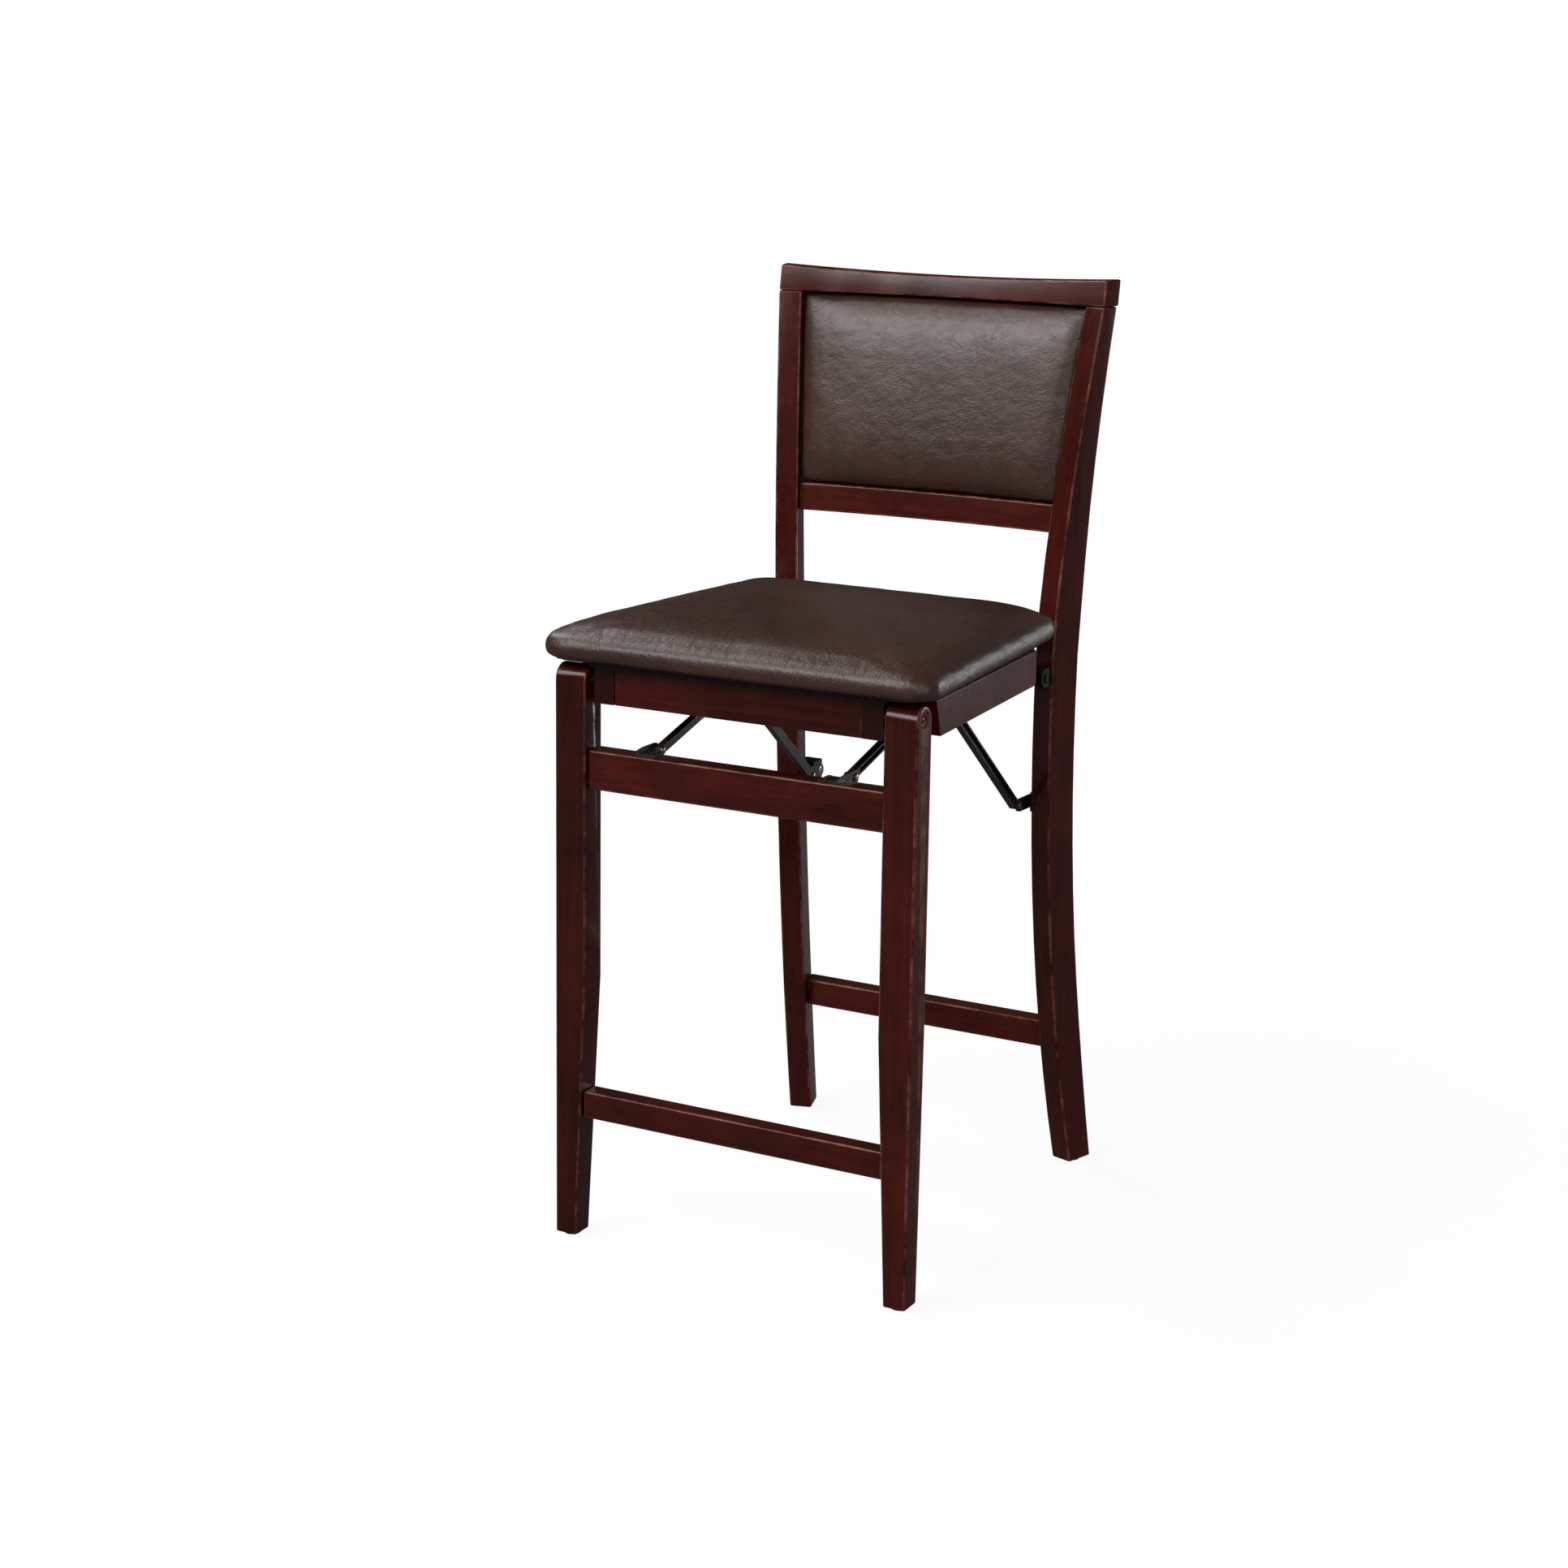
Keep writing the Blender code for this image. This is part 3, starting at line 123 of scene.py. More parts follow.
# Seat cover: the stapled band under it, the front roll, the corners, and the depth of creases and lumps
STAPLED_TOP, STAPLED_FADE = 0.005, 0.004
FLAT_UNDERSIDE = 0.0012
ROLL_MIDDLE, ROLL_HALF = 0.50, 0.46
FRONT_REACH, FRONT_FADE = 0.060, 0.050
CORNER_SIDE_REACH, CORNER_SIDE_FADE = 0.030, 0.022
CORNER_FRONT_REACH, CORNER_FRONT_FADE = 0.045, 0.035
CORNER_RADIUS = 0.034
GATHERS_ROUND_CORNER = 15
CREASE_DEPTH = 0.00032
LUMP_HEIGHT = 0.0007

# Back cover: the edge that the frame holds, and the depth of its swirls
PAD_EDGE_REACH, PAD_EDGE_FADE = 0.012, 0.006
SWIRL_DEPTH = 0.00013

# Staples of the lining: size, rounding, how far they sink in, and the ends of their rows
STAPLE_SIZE = (0.010, 0.0012, 0.0009)
STAPLE_ROUND = 0.0003
STAPLE_SINK = 0.00035
STAPLE_INSET = 0.010
FRONT_ROW_HALF, REAR_ROW_HALF, SIDE_ROW_START = 0.085, 0.135, -0.145

# Screws: distances from the inner and front faces of what they hold, and the plate under the head
BRACKET_SCREW_X, BRACKET_SCREWS_Y = 0.005, (0.005, 0.015)
BLOCK_SCREW_X, BLOCK_SCREWS_Y = 0.012, (0.010, 0.024)
BLOCK_SCREW_SHARE = 1.2
PLATE_THICKNESS = 0.0023

# Camera: place, turn in degrees (yaw, pitch down, roll), shift of the picture, sensor in mm and reach
CAMERA_PLACE = Vector((1.443, -2.796, 1.229))
CAMERA_ANGLES = (29.83, 11.87, 0.52)
CAMERA_SHIFT = (0.0452, -0.0646)
CAMERA_SENSOR = 36
CAMERA_REACH = 100

# Lights: name, place, size, and the setting that holds the power
LIGHTS = (
    ("main_light", (-1.65, -3.33, 3.1), (3.4, 1.6), "key_power"),
    ("front_light", (2.2, -3.2, 2.6), (2.0, 2.0), "front_power"),
    ("fill_light", (3.3, -1.5, 0.9), (0.4, 1.7), "fill_power"),
    ("top_light", (-1.7, -0.3, 3.0), (1.5, 1.4), "top_power"),
    ("rear_left_light", (-3.0, 1.2, 2.9), (0.8, 1.6), "rim_power"),
    ("rear_right_light", (1.9, 2.9, 0.8), (0.9, 1.4), "rim_power"),
)
LIGHT_TARGET = Vector((0, 0, 0.55))

# Share of the white room that glossy rays see, and of that in the floor
GLOSSY_SHARE = 0.10
FLOOR_GLOSSY_SHARE = 0.5

# Floor: size, share of plain white under the stool, where it fades to all white, and its colours
FLOOR_SIZE = 40
FLOOR_GLOW = 0.90
FLOOR_NEAR, FLOOR_FAR = 0.55, 1.6
FLOOR_DARK = (0.06, 0.06, 0.06)
FLOOR_PALE, FLOOR_PALEST = (0.95, 0.95, 0.95), (0.98, 0.98, 0.98)


class Channel:
    """One output of a node tree. Arithmetic on it adds Math nodes."""

    def __init__(self, paint, socket):
        self.paint = paint
        self.socket = socket

    def maths(self, operation, first, second=0.0, clamp=False):
        settings = {"operation": operation, "use_clamp": clamp}
        return self.paint.node("ShaderNodeMath", settings, {0: first, 1: second})

    def __add__(self, other):
        return self.maths("ADD", self, other)

    __radd__ = __add__

    def __sub__(self, other):
        return self.maths("SUBTRACT", self, other)

    def __rsub__(self, other):
        return self.maths("SUBTRACT", other, self)

    def __mul__(self, other):
        return self.maths("MULTIPLY", self, other)

    __rmul__ = __mul__

    def __abs__(self):
        return self.maths("ABSOLUTE", self)

    def most(self, other):
        return self.maths("MAXIMUM", self, other)

    def clamped(self):
        return self.maths("ADD", self, 0.0, clamp=True)


class Paint:
    """A node tree, the one method that adds nodes to it, and the nodes that several finishes need."""

    def __init__(self, name="", tree=None):
        self.material = None
        if tree is None:
            self.material = bpy.data.materials.new(name)
            self.material.use_nodes = True
            tree = self.material.node_tree
        self.tree = tree

    def node(self, kind, settings=None, values=None, output=0):
        added = self.tree.nodes.new(kind)
        for name, value in (settings or {}).items():
            if name == "stops":
                ramp = added.color_ramp
                while len(ramp.elements) < len(value):
                    ramp.elements.new(0.5)
                for element, (place, colour) in zip(ramp.elements, value):
                    element.position = place
                    element.color = (*colour, 1)
            else:
                setattr(added, name, value)
        for name, value in (values or {}).items():
            self.feed(added.inputs[name], value)
        return Channel(self, added.outputs[output])

    def feed(self, socket, value):
        if isinstance(value, Channel):
            self.tree.links.new(value.socket, socket)
        elif isinstance(value, tuple) and len(value) == 3 and len(socket.default_value) == 4:
            socket.default_value = (*value, 1)
        else:
            socket.default_value = value

    def principled(self, values):
        shader = self.tree.nodes["Principled BSDF"]
        for name, value in values.items():
            self.feed(shader.inputs[name], value)
        return self.material

    def places(self, scale=(1, 1, 1), shift=(0, 0, 0)):
        """Object coordinates, scaled and shifted."""
        start = self.node("ShaderNodeTexCoord", output="Object")
        return self.node("ShaderNodeMapping", {}, {"Vector": start, "Scale": scale, "Location": shift})

    def grains(self, places, scale, detail, roughness, distortion=0.0, output=0):
        """Noise: a value, or a colour from output 1."""
        values = {"Vector": places, "Scale": scale, "Detail": detail, "Roughness": roughness,
                  "Distortion": distortion}
        return self.node("ShaderNodeTexNoise", {}, values, output)

    def blend(self, factor, first, second):
        """A colour between two colours."""
        settings = {"data_type": "RGBA", "clamp_factor": True}
        return self.node("ShaderNodeMix", settings, {0: factor, 6: first, 7: second}, 2)

    def between(self, value, low, high):
        """How far a value is from low to high, held between 0 and 1."""
        return self.node("ShaderNodeMapRange", {}, {"Value": value, "From Min": low, "From Max": high})

    def arris(self, radius):
        """1 on the sharp edges of a piece, and 0 on its flats."""
        rounded = self.node("ShaderNodeBevel", {"samples": 6}, {"Radius": radius})
        facing = self.node("ShaderNodeNewGeometry", output="Normal")
        agreement = self.vectors("DOT_PRODUCT", {0: rounded, 1: facing}, "Value")
        return self.between(1.0 - agreement, 0.01, 0.12)

    def vectors(self, operation, values, output=0):
        return self.node("ShaderNodeVectorMath", {"operation": operation}, values, output)

    def relief(self, height, depth, under=None):
        """Bump of a depth in metres, over another bump."""
        values = {"Height": height, "Distance": depth}
        if under is not None:
            values["Normal"] = under
        return self.node("ShaderNodeBump", {}, values)

    def rays(self):
        """1 for rays that come straight from the camera, and 1 for glossy rays."""
        straight = self.node("ShaderNodeLightPath", output="Is Camera Ray")
        glossy = self.node("ShaderNodeLightPath", output="Is Glossy Ray")
        through = self.node("ShaderNodeLightPath", output="Is Transmission Ray")
        return straight.most(through), glossy


def toned(colour, share):
    return tuple(c * share for c in colour)


def paint_wood(name, grain, shade, seed, look):
    """Stained and lacquered hardwood: figure, pores, blotches in the stain, arrises lighter with wear and a
    painted highlight, and a shade for the piece that is partly painted light and shade.
    """
    paint = Paint(name)
    along = "XYZ".index(grain)
    stretch = [1.0, 1.0, 1.0]
    stretch[along] = 0.055
    shift = (seed * 1.37, seed * 2.11, seed * 0.73)
    lengthways = paint.places(tuple(stretch), shift)
    evenly = paint.places((1, 1, 1), shift)
    figure = paint.grains(lengthways, scale=85, detail=5, roughness=0.62, distortion=0.8)
    streaks = paint.grains(lengthways, scale=520, detail=3, roughness=0.6)
    pores = paint.between(paint.grains(lengthways, scale=1150, detail=2, roughness=0.5), 0.60, 0.74)
    blotches = paint.grains(evenly, scale=11, detail=4, roughness=0.6)
    tone = paint.between(figure * 0.46 + streaks * 0.20 + blotches * 0.52, 0.38, 0.82)
    # The piece's shade scales every colour: partly tone between boards, partly painted light and shade
    deep, middle, warm, worn = (toned(colour, shade) for colour in (
        look.wood_dark, look.wood_middle, look.wood_warm, look.wood_edge_wear_and_highlight))
    stops = [(0.0, deep), (0.48, middle), (1.0, warm)]
    stain = paint.node("ShaderNodeValToRGB", {"stops": stops}, {0: tone})
    stain = paint.blend(pores * 0.40, stain, toned(deep, 0.45))
    edge = paint.node("ShaderNodeAttribute", {"attribute_name": "arris"}, output="Fac")
    rubbed = edge * paint.between(paint.grains(evenly, scale=30, detail=4, roughness=0.7), 0.42, 0.64)
    # Rubbed arrises turn lighter: worn lacquer, and in part a painted highlight along the edges
    stain = paint.blend(rubbed * 0.55, stain, worn)
    dusting = paint.grains(evenly, scale=34, detail=5, roughness=0.65)
    gloss = look.wood_roughness + (dusting - 0.5) * 0.12 + pores * 0.06 - rubbed * 0.04
    fine = paint.relief(pores * -0.5 + streaks * 0.5, depth=0.000018)
    waves = paint.relief(paint.grains(lengthways, scale=40, detail=3, roughness=0.5), depth=0.00016,
                         under=fine)
    return paint.principled({"Base Color": stain, "Roughness": gloss.clamped(), "Normal": waves,
                             "Specular IOR Level": 0.26, "Coat Weight": 0.08, "Coat Roughness": 0.10})


def paint_leather(name, turn, stretch, wander, seed, look, tone=1.0, deep=1.0):
    """Embossed vinyl: creases that bend about and are darkened with painted shade, pebbles between them, and
    rubbed crests.

    They run along the axis of the least stretch, after a turn in degrees."""
    paint = Paint(name)
    evenly = paint.places((1, 1, 1), (seed * 0.71, seed * 1.93, seed * 1.17))
    drift = paint.grains(evenly, scale=15, detail=2, roughness=0.5, output=1)
    pushed = paint.vectors("SUBTRACT", {0: drift, 1: (0.5, 0.5, 0.5)})
    pushed = paint.vectors("SCALE", {0: pushed, "Scale": wander})
    bent = paint.vectors("ADD", {0: evenly, 1: pushed})
    angles = tuple(math.radians(a) for a in turn)
    turned = paint.node("ShaderNodeMapping", {}, {"Vector": bent, "Rotation": angles})
    drawn = paint.node("ShaderNodeMapping", {}, {"Vector": turned, "Scale": stretch})
    wrinkles = paint.grains(drawn, scale=200, detail=2, roughness=0.5, distortion=0.25)
    long_crease = (1.0 - abs(wrinkles - 0.5) * 6.0).clamped()
    wrinkles = paint.grains(drawn, scale=430, detail=2, roughness=0.5, distortion=0.2)
    short_crease = (1.0 - abs(wrinkles - 0.5) * 6.0).clamped()
    patches = paint.between(paint.grains(bent, scale=60, detail=3, roughness=0.55), 0.38, 0.66)
    pebble = paint.node("ShaderNodeTexVoronoi", {"feature": "DISTANCE_TO_EDGE"},
                        {"Vector": bent, "Scale": 640, "Randomness": 0.9})
    crease = long_crease * (0.15 + patches * 0.85)
    cloud = paint.grains(evenly, scale=9, detail=4, roughness=0.6)
    patchy = paint.grains(evenly, scale=45, detail=3, roughness=0.6)
    dark, middle, rubbed = (toned(colour, tone) for colour in (
        look.leather_dark, look.leather_middle, look.leather_rubbed))
    hide = paint.blend(paint.between(cloud * 0.7 + patchy * 0.3, 0.36, 0.66), dark, middle)
    # Creases darkened: painted shade in the embossed creases
    hide = paint.blend(crease * 0.22, hide, toned(dark, 0.40))
    crest = paint.between(paint.grains(bent, scale=210, detail=4, roughness=0.6), 0.52, 0.72)
    hide = paint.blend(crest * 0.12, hide, rubbed)
    gloss = look.leather_roughness + (patchy - 0.5) * 0.10 + crease * 0.06
    height = paint.between(pebble, 0.0, 0.12) * 0.12 - crease * 1.0 - short_crease * 0.34
    grain = paint.relief(height, look.grain_depth * deep)
    soft = paint.relief(paint.grains(drawn, scale=62, detail=3, roughness=0.5), depth=0.0004, under=grain)
    return paint.principled({"Base Color": hide, "Roughness": gloss.clamped(), "Normal": soft,
                             "Specular IOR Level": 0.5, "Coat Weight": 0.05, "Coat Roughness": 0.26})


def paint_metal(name, base, bare, roughness, metallic, seed, specular=0.5):
    """Steel under black lacquer or a dark plating, rubbed to bare metal on its edges."""
    paint = Paint(name)
    evenly = paint.places((1, 1, 1), (seed, seed * 0.6, seed * 1.4))
    scuffs = paint.grains(evenly, scale=160, detail=5, roughness=0.7)
    drawn = paint.places((1, 0.08, 0.08), (seed, 0, 0))
    lines = paint.grains(drawn, scale=900, detail=2, roughness=0.5)
    rubbed = paint.arris(METAL_ARRIS) * paint.between(scuffs, 0.42, 0.60)
    colour = paint.blend(paint.between(scuffs, 0.30, 0.75) * 0.5, base, toned(base, 1.9))
    colour = paint.blend(rubbed * 0.85, colour, bare)
    specks = paint.between(paint.grains(evenly, scale=700, detail=2, roughness=0.5), 0.66, 0.74)
    colour = paint.blend(specks * 0.30, colour, bare)
    gloss = roughness + (scuffs - 0.5) * 0.22 + (lines - 0.5) * 0.08
    skin = paint.grains(evenly, scale=850, detail=2, roughness=0.5)
    bump = paint.relief(skin * 0.5 + lines * 0.5, depth=0.00006)
    if metallic < 1:
        metallic = (metallic + rubbed * (1 - metallic)).clamped()
    return paint.principled({"Base Color": colour, "Roughness": gloss.clamped(), "Normal": bump,
                             "Metallic": metallic, "Specular IOR Level": specular})


def paint_cloth(name, colour, seed):
    """Black spun lining: crossed fibres with a dimpled bond pattern."""
    paint = Paint(name)
    evenly = paint.places((1, 1, 1), (seed, seed, seed))
    fibres, across = (paint.grains(paint.places(*layout), scale=900, detail=3, roughness=0.6) for layout in (
        ((1, 0.12, 1), (seed, 0, 0)), ((0.12, 1, 1), (0, seed, 0))))
    dimples = paint.node("ShaderNodeTexVoronoi", {}, {"Vector": evenly, "Scale": 480, "Randomness": 0.15})
    strands = (fibres + across) * 0.5
    shade = paint.blend(paint.between(strands, 0.35, 0.65), colour, toned(colour, 2.6))
    height = strands + paint.between(dimples, 0.0, 0.6) * 0.6
    return paint.principled({"Base Color": shade, "Roughness": (0.80 + strands * 0.18).clamped(),
                             "Normal": paint.relief(height, depth=0.00025), "Sheen Weight": 0.15})


def paint_plastic(name, colour, seed):
    """Moulded nylon with a spark-eroded skin and scuffs where it meets the floor."""
    paint = Paint(name)
    evenly = paint.places((1, 1, 1), (seed, 0, seed))
    skin = paint.grains(evenly, scale=1400, detail=2, roughness=0.5)
    scuffs = paint.between(paint.grains(evenly, scale=190, detail=4, roughness=0.7), 0.50, 0.66)
    shade = paint.blend(scuffs * 0.5, colour, tuple(min(1.0, c * 3.0 + 0.02) for c in colour))
    return paint.principled({"Base Color": shade, "Roughness": (0.42 + scuffs * 0.30).clamped(),
                             "Normal": paint.relief(skin, depth=0.00005)})


def give(obj, material):
    """Put one material on an object."""
    if obj.material_slots:
        for slot in obj.material_slots:
            slot.material = material
    else:
        obj.data.materials.append(material)


def nodes_named(prefixes):
    """The left and right node of each of some pairs."""
    return sorted(n for n in frame["nodes"] if n.rsplit("_", 1)[0] in prefixes)


def select_only(obj):
    if bpy.context.object and bpy.context.object.mode != "OBJECT":
        bpy.ops.object.mode_set(mode="OBJECT")
    bpy.ops.object.select_all(action="DESELECT")
    obj.select_set(True)
    bpy.context.view_layer.objects.active = obj


def new_primitive(kind, **settings):
    """Add a primitive mesh and return its object."""
    bpy.ops.object.select_all(action="DESELECT")
    getattr(bpy.ops.mesh, "primitive_%s_add" % kind)(**settings)
    return bpy.context.object


def merged_copy(node, name):
    """A copy of a CAD node's mesh under a new name, with its loose triangles joined."""
    piece = bpy.data.objects.new(name, frame["nodes"][node].data.copy())
    bpy.context.scene.collection.objects.link(piece)
    piece.data.name = name
    select_only(piece)
    bpy.ops.object.mode_set(mode="EDIT")
    bpy.ops.mesh.select_all(action="SELECT")
    bpy.ops.mesh.remove_doubles(threshold=MERGE_DISTANCE)
    bpy.ops.object.mode_set(mode="OBJECT")
    return piece


def apply_modifier(piece, name, kind, **settings):
    modifier = piece.modifiers.new(name, kind)
    for key, value in settings.items():
        setattr(modifier, key, value)
    select_only(piece)
    bpy.ops.object.modifier_apply(modifier=name)


def read_points(mesh):
    points = np.zeros(len(mesh.vertices) * 3)
    mesh.vertices.foreach_get("co", points)
    return points.reshape(-1, 3)


def read_normals(mesh):
    normals = np.zeros(len(mesh.vertices) * 3)
    mesh.vertices.foreach_get("normal", normals)
    return normals.reshape(-1, 3)


def write_points(mesh, points):
    mesh.vertices.foreach_set("co", np.asarray(points, float).ravel())
    mesh.update()


def fix_place(piece):
    """Put a piece's place, turn and scale into its mesh."""
    select_only(piece)
    bpy.ops.object.transform_apply(location=True, rotation=True, scale=True)


def finish_piece(piece, body, material, replaces, smooth):
    """Smooth a piece up to an angle in degrees, paint it, and let it ride."""
    select_only(piece)
    bpy.ops.object.shade_smooth_by_angle(angle=math.radians(smooth))
    piece.data.materials.clear()
    piece.data.materials.append(material)
    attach(piece, body)
    if replaces:
        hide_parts(*replaces)
    return piece


def mark_arrises(piece):
    """Store 1 on the narrow strips that round a piece's edges, and 0 on its flats."""
    mesh = piece.data
    strip = np.zeros(len(mesh.polygons), dtype=np.float32)
    for face in mesh.polygons:
        corners = [mesh.vertices[i].co for i in face.vertices]
        longest = max((a - b).length for a, b in zip(corners, corners[1:] + corners[:1]))
        width = (2 if len(corners) == 3 else 1) * face.area / longest
        strip[face.index] = width < ARRIS_WIDTH
    mesh.attributes.new("arris", "FLOAT", "FACE").data.foreach_set("value", strip)


def level_normals(piece):
    """Point the normals of rounded edges with the flats beside them, so that flats look flat."""
    apply_modifier(piece, "flats", "WEIGHTED_NORMAL", mode="FACE_AREA", weight=60, keep_sharp=True)


def cut_with(piece, cutter):
    """Take a cutter out of a piece and discard it."""
    apply_modifier(piece, "cut", "BOOLEAN", operation="DIFFERENCE", solver="EXACT", object=cutter)
    bpy.data.objects.remove(cutter)


def aim(piece, place, outward):
    """Turn a piece's +Z to a direction, set it at a place, and put both into its mesh."""
    piece.rotation_euler = Vector(outward).to_track_quat("Z", "Y").to_euler()
    piece.location = place
    fix_place(piece)


def pan_head_screw(radius):
    """A domed screw head with a crossed recess, standing on Z = 0."""
    height = radius * 0.5
    blade_size = (radius * 1.05, radius * 0.22, radius * 0.44)
    screw = new_primitive("cylinder", vertices=20, radius=radius, depth=height, location=(0, 0, height / 2))
    fix_place(screw)
    apply_modifier(screw, "dome", "BEVEL", width=radius * 0.34, segments=4, limit_method="ANGLE",
                   angle_limit=math.radians(60))
    for turn in (0, math.pi / 2):
        blade = new_primitive("cube", size=1, location=(0, 0, height))
        blade.scale = blade_size
        blade.rotation_euler = (0, 0, turn)
        fix_place(blade)
        cut_with(screw, blade)
    return screw


def stuff(piece, pinned, shrink, cap, pressure):
    """Swell a remeshed pad with air pressure from a slightly smaller start, held where it is pinned.

    The cloth's shape is followed only as far as cap allows, so the outline stays the one that the cover was
    cut to."""
    mesh = piece.data
    start = read_points(mesh)
    held = pinned(start)
    write_points(mesh, start - read_normals(mesh) * shrink * (1 - held)[:, None])
    group = piece.vertex_groups.new(name="stapled")
    for index in np.nonzero(held > 0.01)[0]:
        group.add([int(index)], float(held[index]), "REPLACE")
    cloth = piece.modifiers.new("filling", "CLOTH")
    for name, value in CLOTH.items():
        setattr(cloth.settings, name, value)
    cloth.settings.uniform_pressure_force = pressure
    cloth.settings.vertex_group_mass = group.name
    cloth.settings.effector_weights.gravity = 0
    cloth.point_cache.frame_end = STUFFING_FRAMES
    for step in range(1, STUFFING_FRAMES + 1):
        bpy.context.scene.frame_set(step)
    graph = bpy.context.evaluated_depsgraph_get()
    swollen = read_points(piece.evaluated_get(graph).data)
    piece.modifiers.remove(cloth)
    piece.vertex_groups.remove(group)
    bpy.context.scene.frame_set(1)
    moved = swollen - start
    moved *= (cap / (cap + np.linalg.norm(moved, axis=1)))[:, None]
    write_points(mesh, start + moved)


def sew_cover(node, name, voxel, pinned, shrink, cap, pressure, easing):
    """A CAD cushion's shape as a fine mesh, stuffed and eased."""
    cover = merged_copy(node, name)
    apply_modifier(cover, "weave", "REMESH", mode="VOXEL", voxel_size=voxel)
    stuff(cover, pinned, shrink, cap, pressure)
    apply_modifier(cover, "ease", "SMOOTH", iterations=easing, factor=0.5)
    apply_modifier(cover, "fine", "SUBSURF", levels=1, render_levels=1)
    return cover


def faded(distance, length):
    """0 up to a distance of 0, and 1 from length on."""
    return np.clip(distance / length, 0, 1)


def ruffled(points, scale, seed):
    """Smooth noise of two octaves at each point, about -1 to 1."""
    scale = np.asarray(scale, float)
    shift = Vector((seed, seed * 0.7, seed * 1.3))
    return np.array([noise.fractal(Vector(p * scale) + shift, 0.8, 2.1, 2) for p in points])


def furrows(points, scale, seed):
    """1 along the lines where the noise crosses 0, and 0 away from them."""
    return 1 - np.minimum(1, abs(ruffled(points, scale, seed)) * 2.4)


class StoolLook(bpy.types.PropertyGroup):
    """Colours and finishes that a user would change."""
    wood_dark: FloatVectorProperty(
        name="Wood, darkest", description="Stain in the dark bands of the grain", subtype="COLOR", size=3,
        min=0, max=1, default=(0.018, 0.0022, 0.0015))
    wood_middle: FloatVectorProperty(
        name="Wood, middle", description="Main stain colour", subtype="COLOR", size=3, min=0, max=1,
        default=(0.050, 0.0058, 0.0036))
    wood_warm: FloatVectorProperty(
        name="Wood, warmest", description="Stain where the light grain shows through", subtype="COLOR", size=3,
        min=0, max=1, default=(0.094, 0.0110, 0.0066))
    # Rubbed lacquer on the arrises, in part a painted highlight
    wood_edge_wear_and_highlight: FloatVectorProperty(
        name="Wood, worn edge", description="Rubbed lacquer on the arrises", subtype="COLOR", size=3,
        min=0, max=1, default=(0.300, 0.110, 0.082))
    wood_roughness: FloatProperty(
        name="Wood roughness", description="Roughness of the satin lacquer", subtype="FACTOR",
        min=0, max=1, default=0.22)
    leather_dark: FloatVectorProperty(
        name="Leather, dark", description="Darker clouds of the vinyl", subtype="COLOR", size=3,
        min=0, max=1, default=(0.030, 0.0118, 0.0076))
    leather_middle: FloatVectorProperty(
        name="Leather, middle", description="Main vinyl colour", subtype="COLOR", size=3, min=0, max=1,
        default=(0.050, 0.0200, 0.0132))
    leather_rubbed: FloatVectorProperty(
        name="Leather, rubbed", description="Crests of the grain that hands have rubbed", subtype="COLOR",
        size=3, min=0, max=1, default=(0.075, 0.045, 0.034))
    leather_roughness: FloatProperty(
        name="Leather roughness", description="Roughness of the vinyl", subtype="FACTOR", min=0, max=1,
        default=0.35)
    grain_depth: FloatProperty(
        name="Grain depth", description="Depth of the embossed wrinkles", subtype="DISTANCE", unit="LENGTH",
        min=0, max=0.003, default=0.00013)
    metal_black: FloatVectorProperty(
        name="Black lacquer", description="Lacquer on the folding hardware", subtype="COLOR", size=3,
        min=0, max=1, default=(0.012, 0.0082, 0.0068))
    metal_bare: FloatVectorProperty(
        name="Bare steel", description="Steel where the lacquer is rubbed off", subtype="COLOR", size=3,
        min=0, max=1, default=(0.42, 0.38, 0.35))
    copper: FloatVectorProperty(
        name="Pivot bolt", description="Antique copper plating of the pivot bolts", subtype="COLOR", size=3,
        min=0, max=1, default=(0.240, 0.090, 0.052))


class StoolShape(bpy.types.PropertyGroup):
    """Sizes of the soft and small pieces."""
    seat_voxel: FloatProperty(
        name="Seat mesh step", description="Size of the seat's mesh before it is stuffed", subtype="DISTANCE",
        unit="LENGTH", min=0.003, max=0.02, default=0.0050)
    pad_voxel: FloatProperty(
        name="Back mesh step", description="Size of the back pad's mesh before it is stuffed",
        subtype="DISTANCE", unit="LENGTH", min=0.003, max=0.02, default=0.0042)
    seat_swell: FloatProperty(
        name="Seat swell", description="Furthest that the stuffing may push the seat cover", subtype="DISTANCE",
        unit="LENGTH", min=0, max=0.03, default=0.0016)
    pad_swell: FloatProperty(
        name="Back swell", description="Furthest that the stuffing may push the back cover",
        subtype="DISTANCE", unit="LENGTH", min=0, max=0.03, default=0.0014)
    pleat_depth: FloatProperty(
        name="Pleat depth", description="Depth of the small gathers at the seat's corners", subtype="DISTANCE",
        unit="LENGTH", min=0, max=0.003, default=0.0009)
    screw_radius: FloatProperty(
        name="Screw head radius", description="Radius of the screw heads on the brackets and blocks",
        subtype="DISTANCE", unit="LENGTH", min=0.001, max=0.005, default=0.0027)
    socket_radius: FloatProperty(
        name="Bolt socket radius", description="Radius of the hexagonal socket in each pivot bolt",
        subtype="DISTANCE", unit="LENGTH", min=0.001, max=0.004, default=0.0026)
    staple_step: FloatProperty(
        name="Staple step", description="Distance between the staples that hold the lining", subtype="DISTANCE",
        unit="LENGTH", min=0.01, max=0.1, default=0.030)


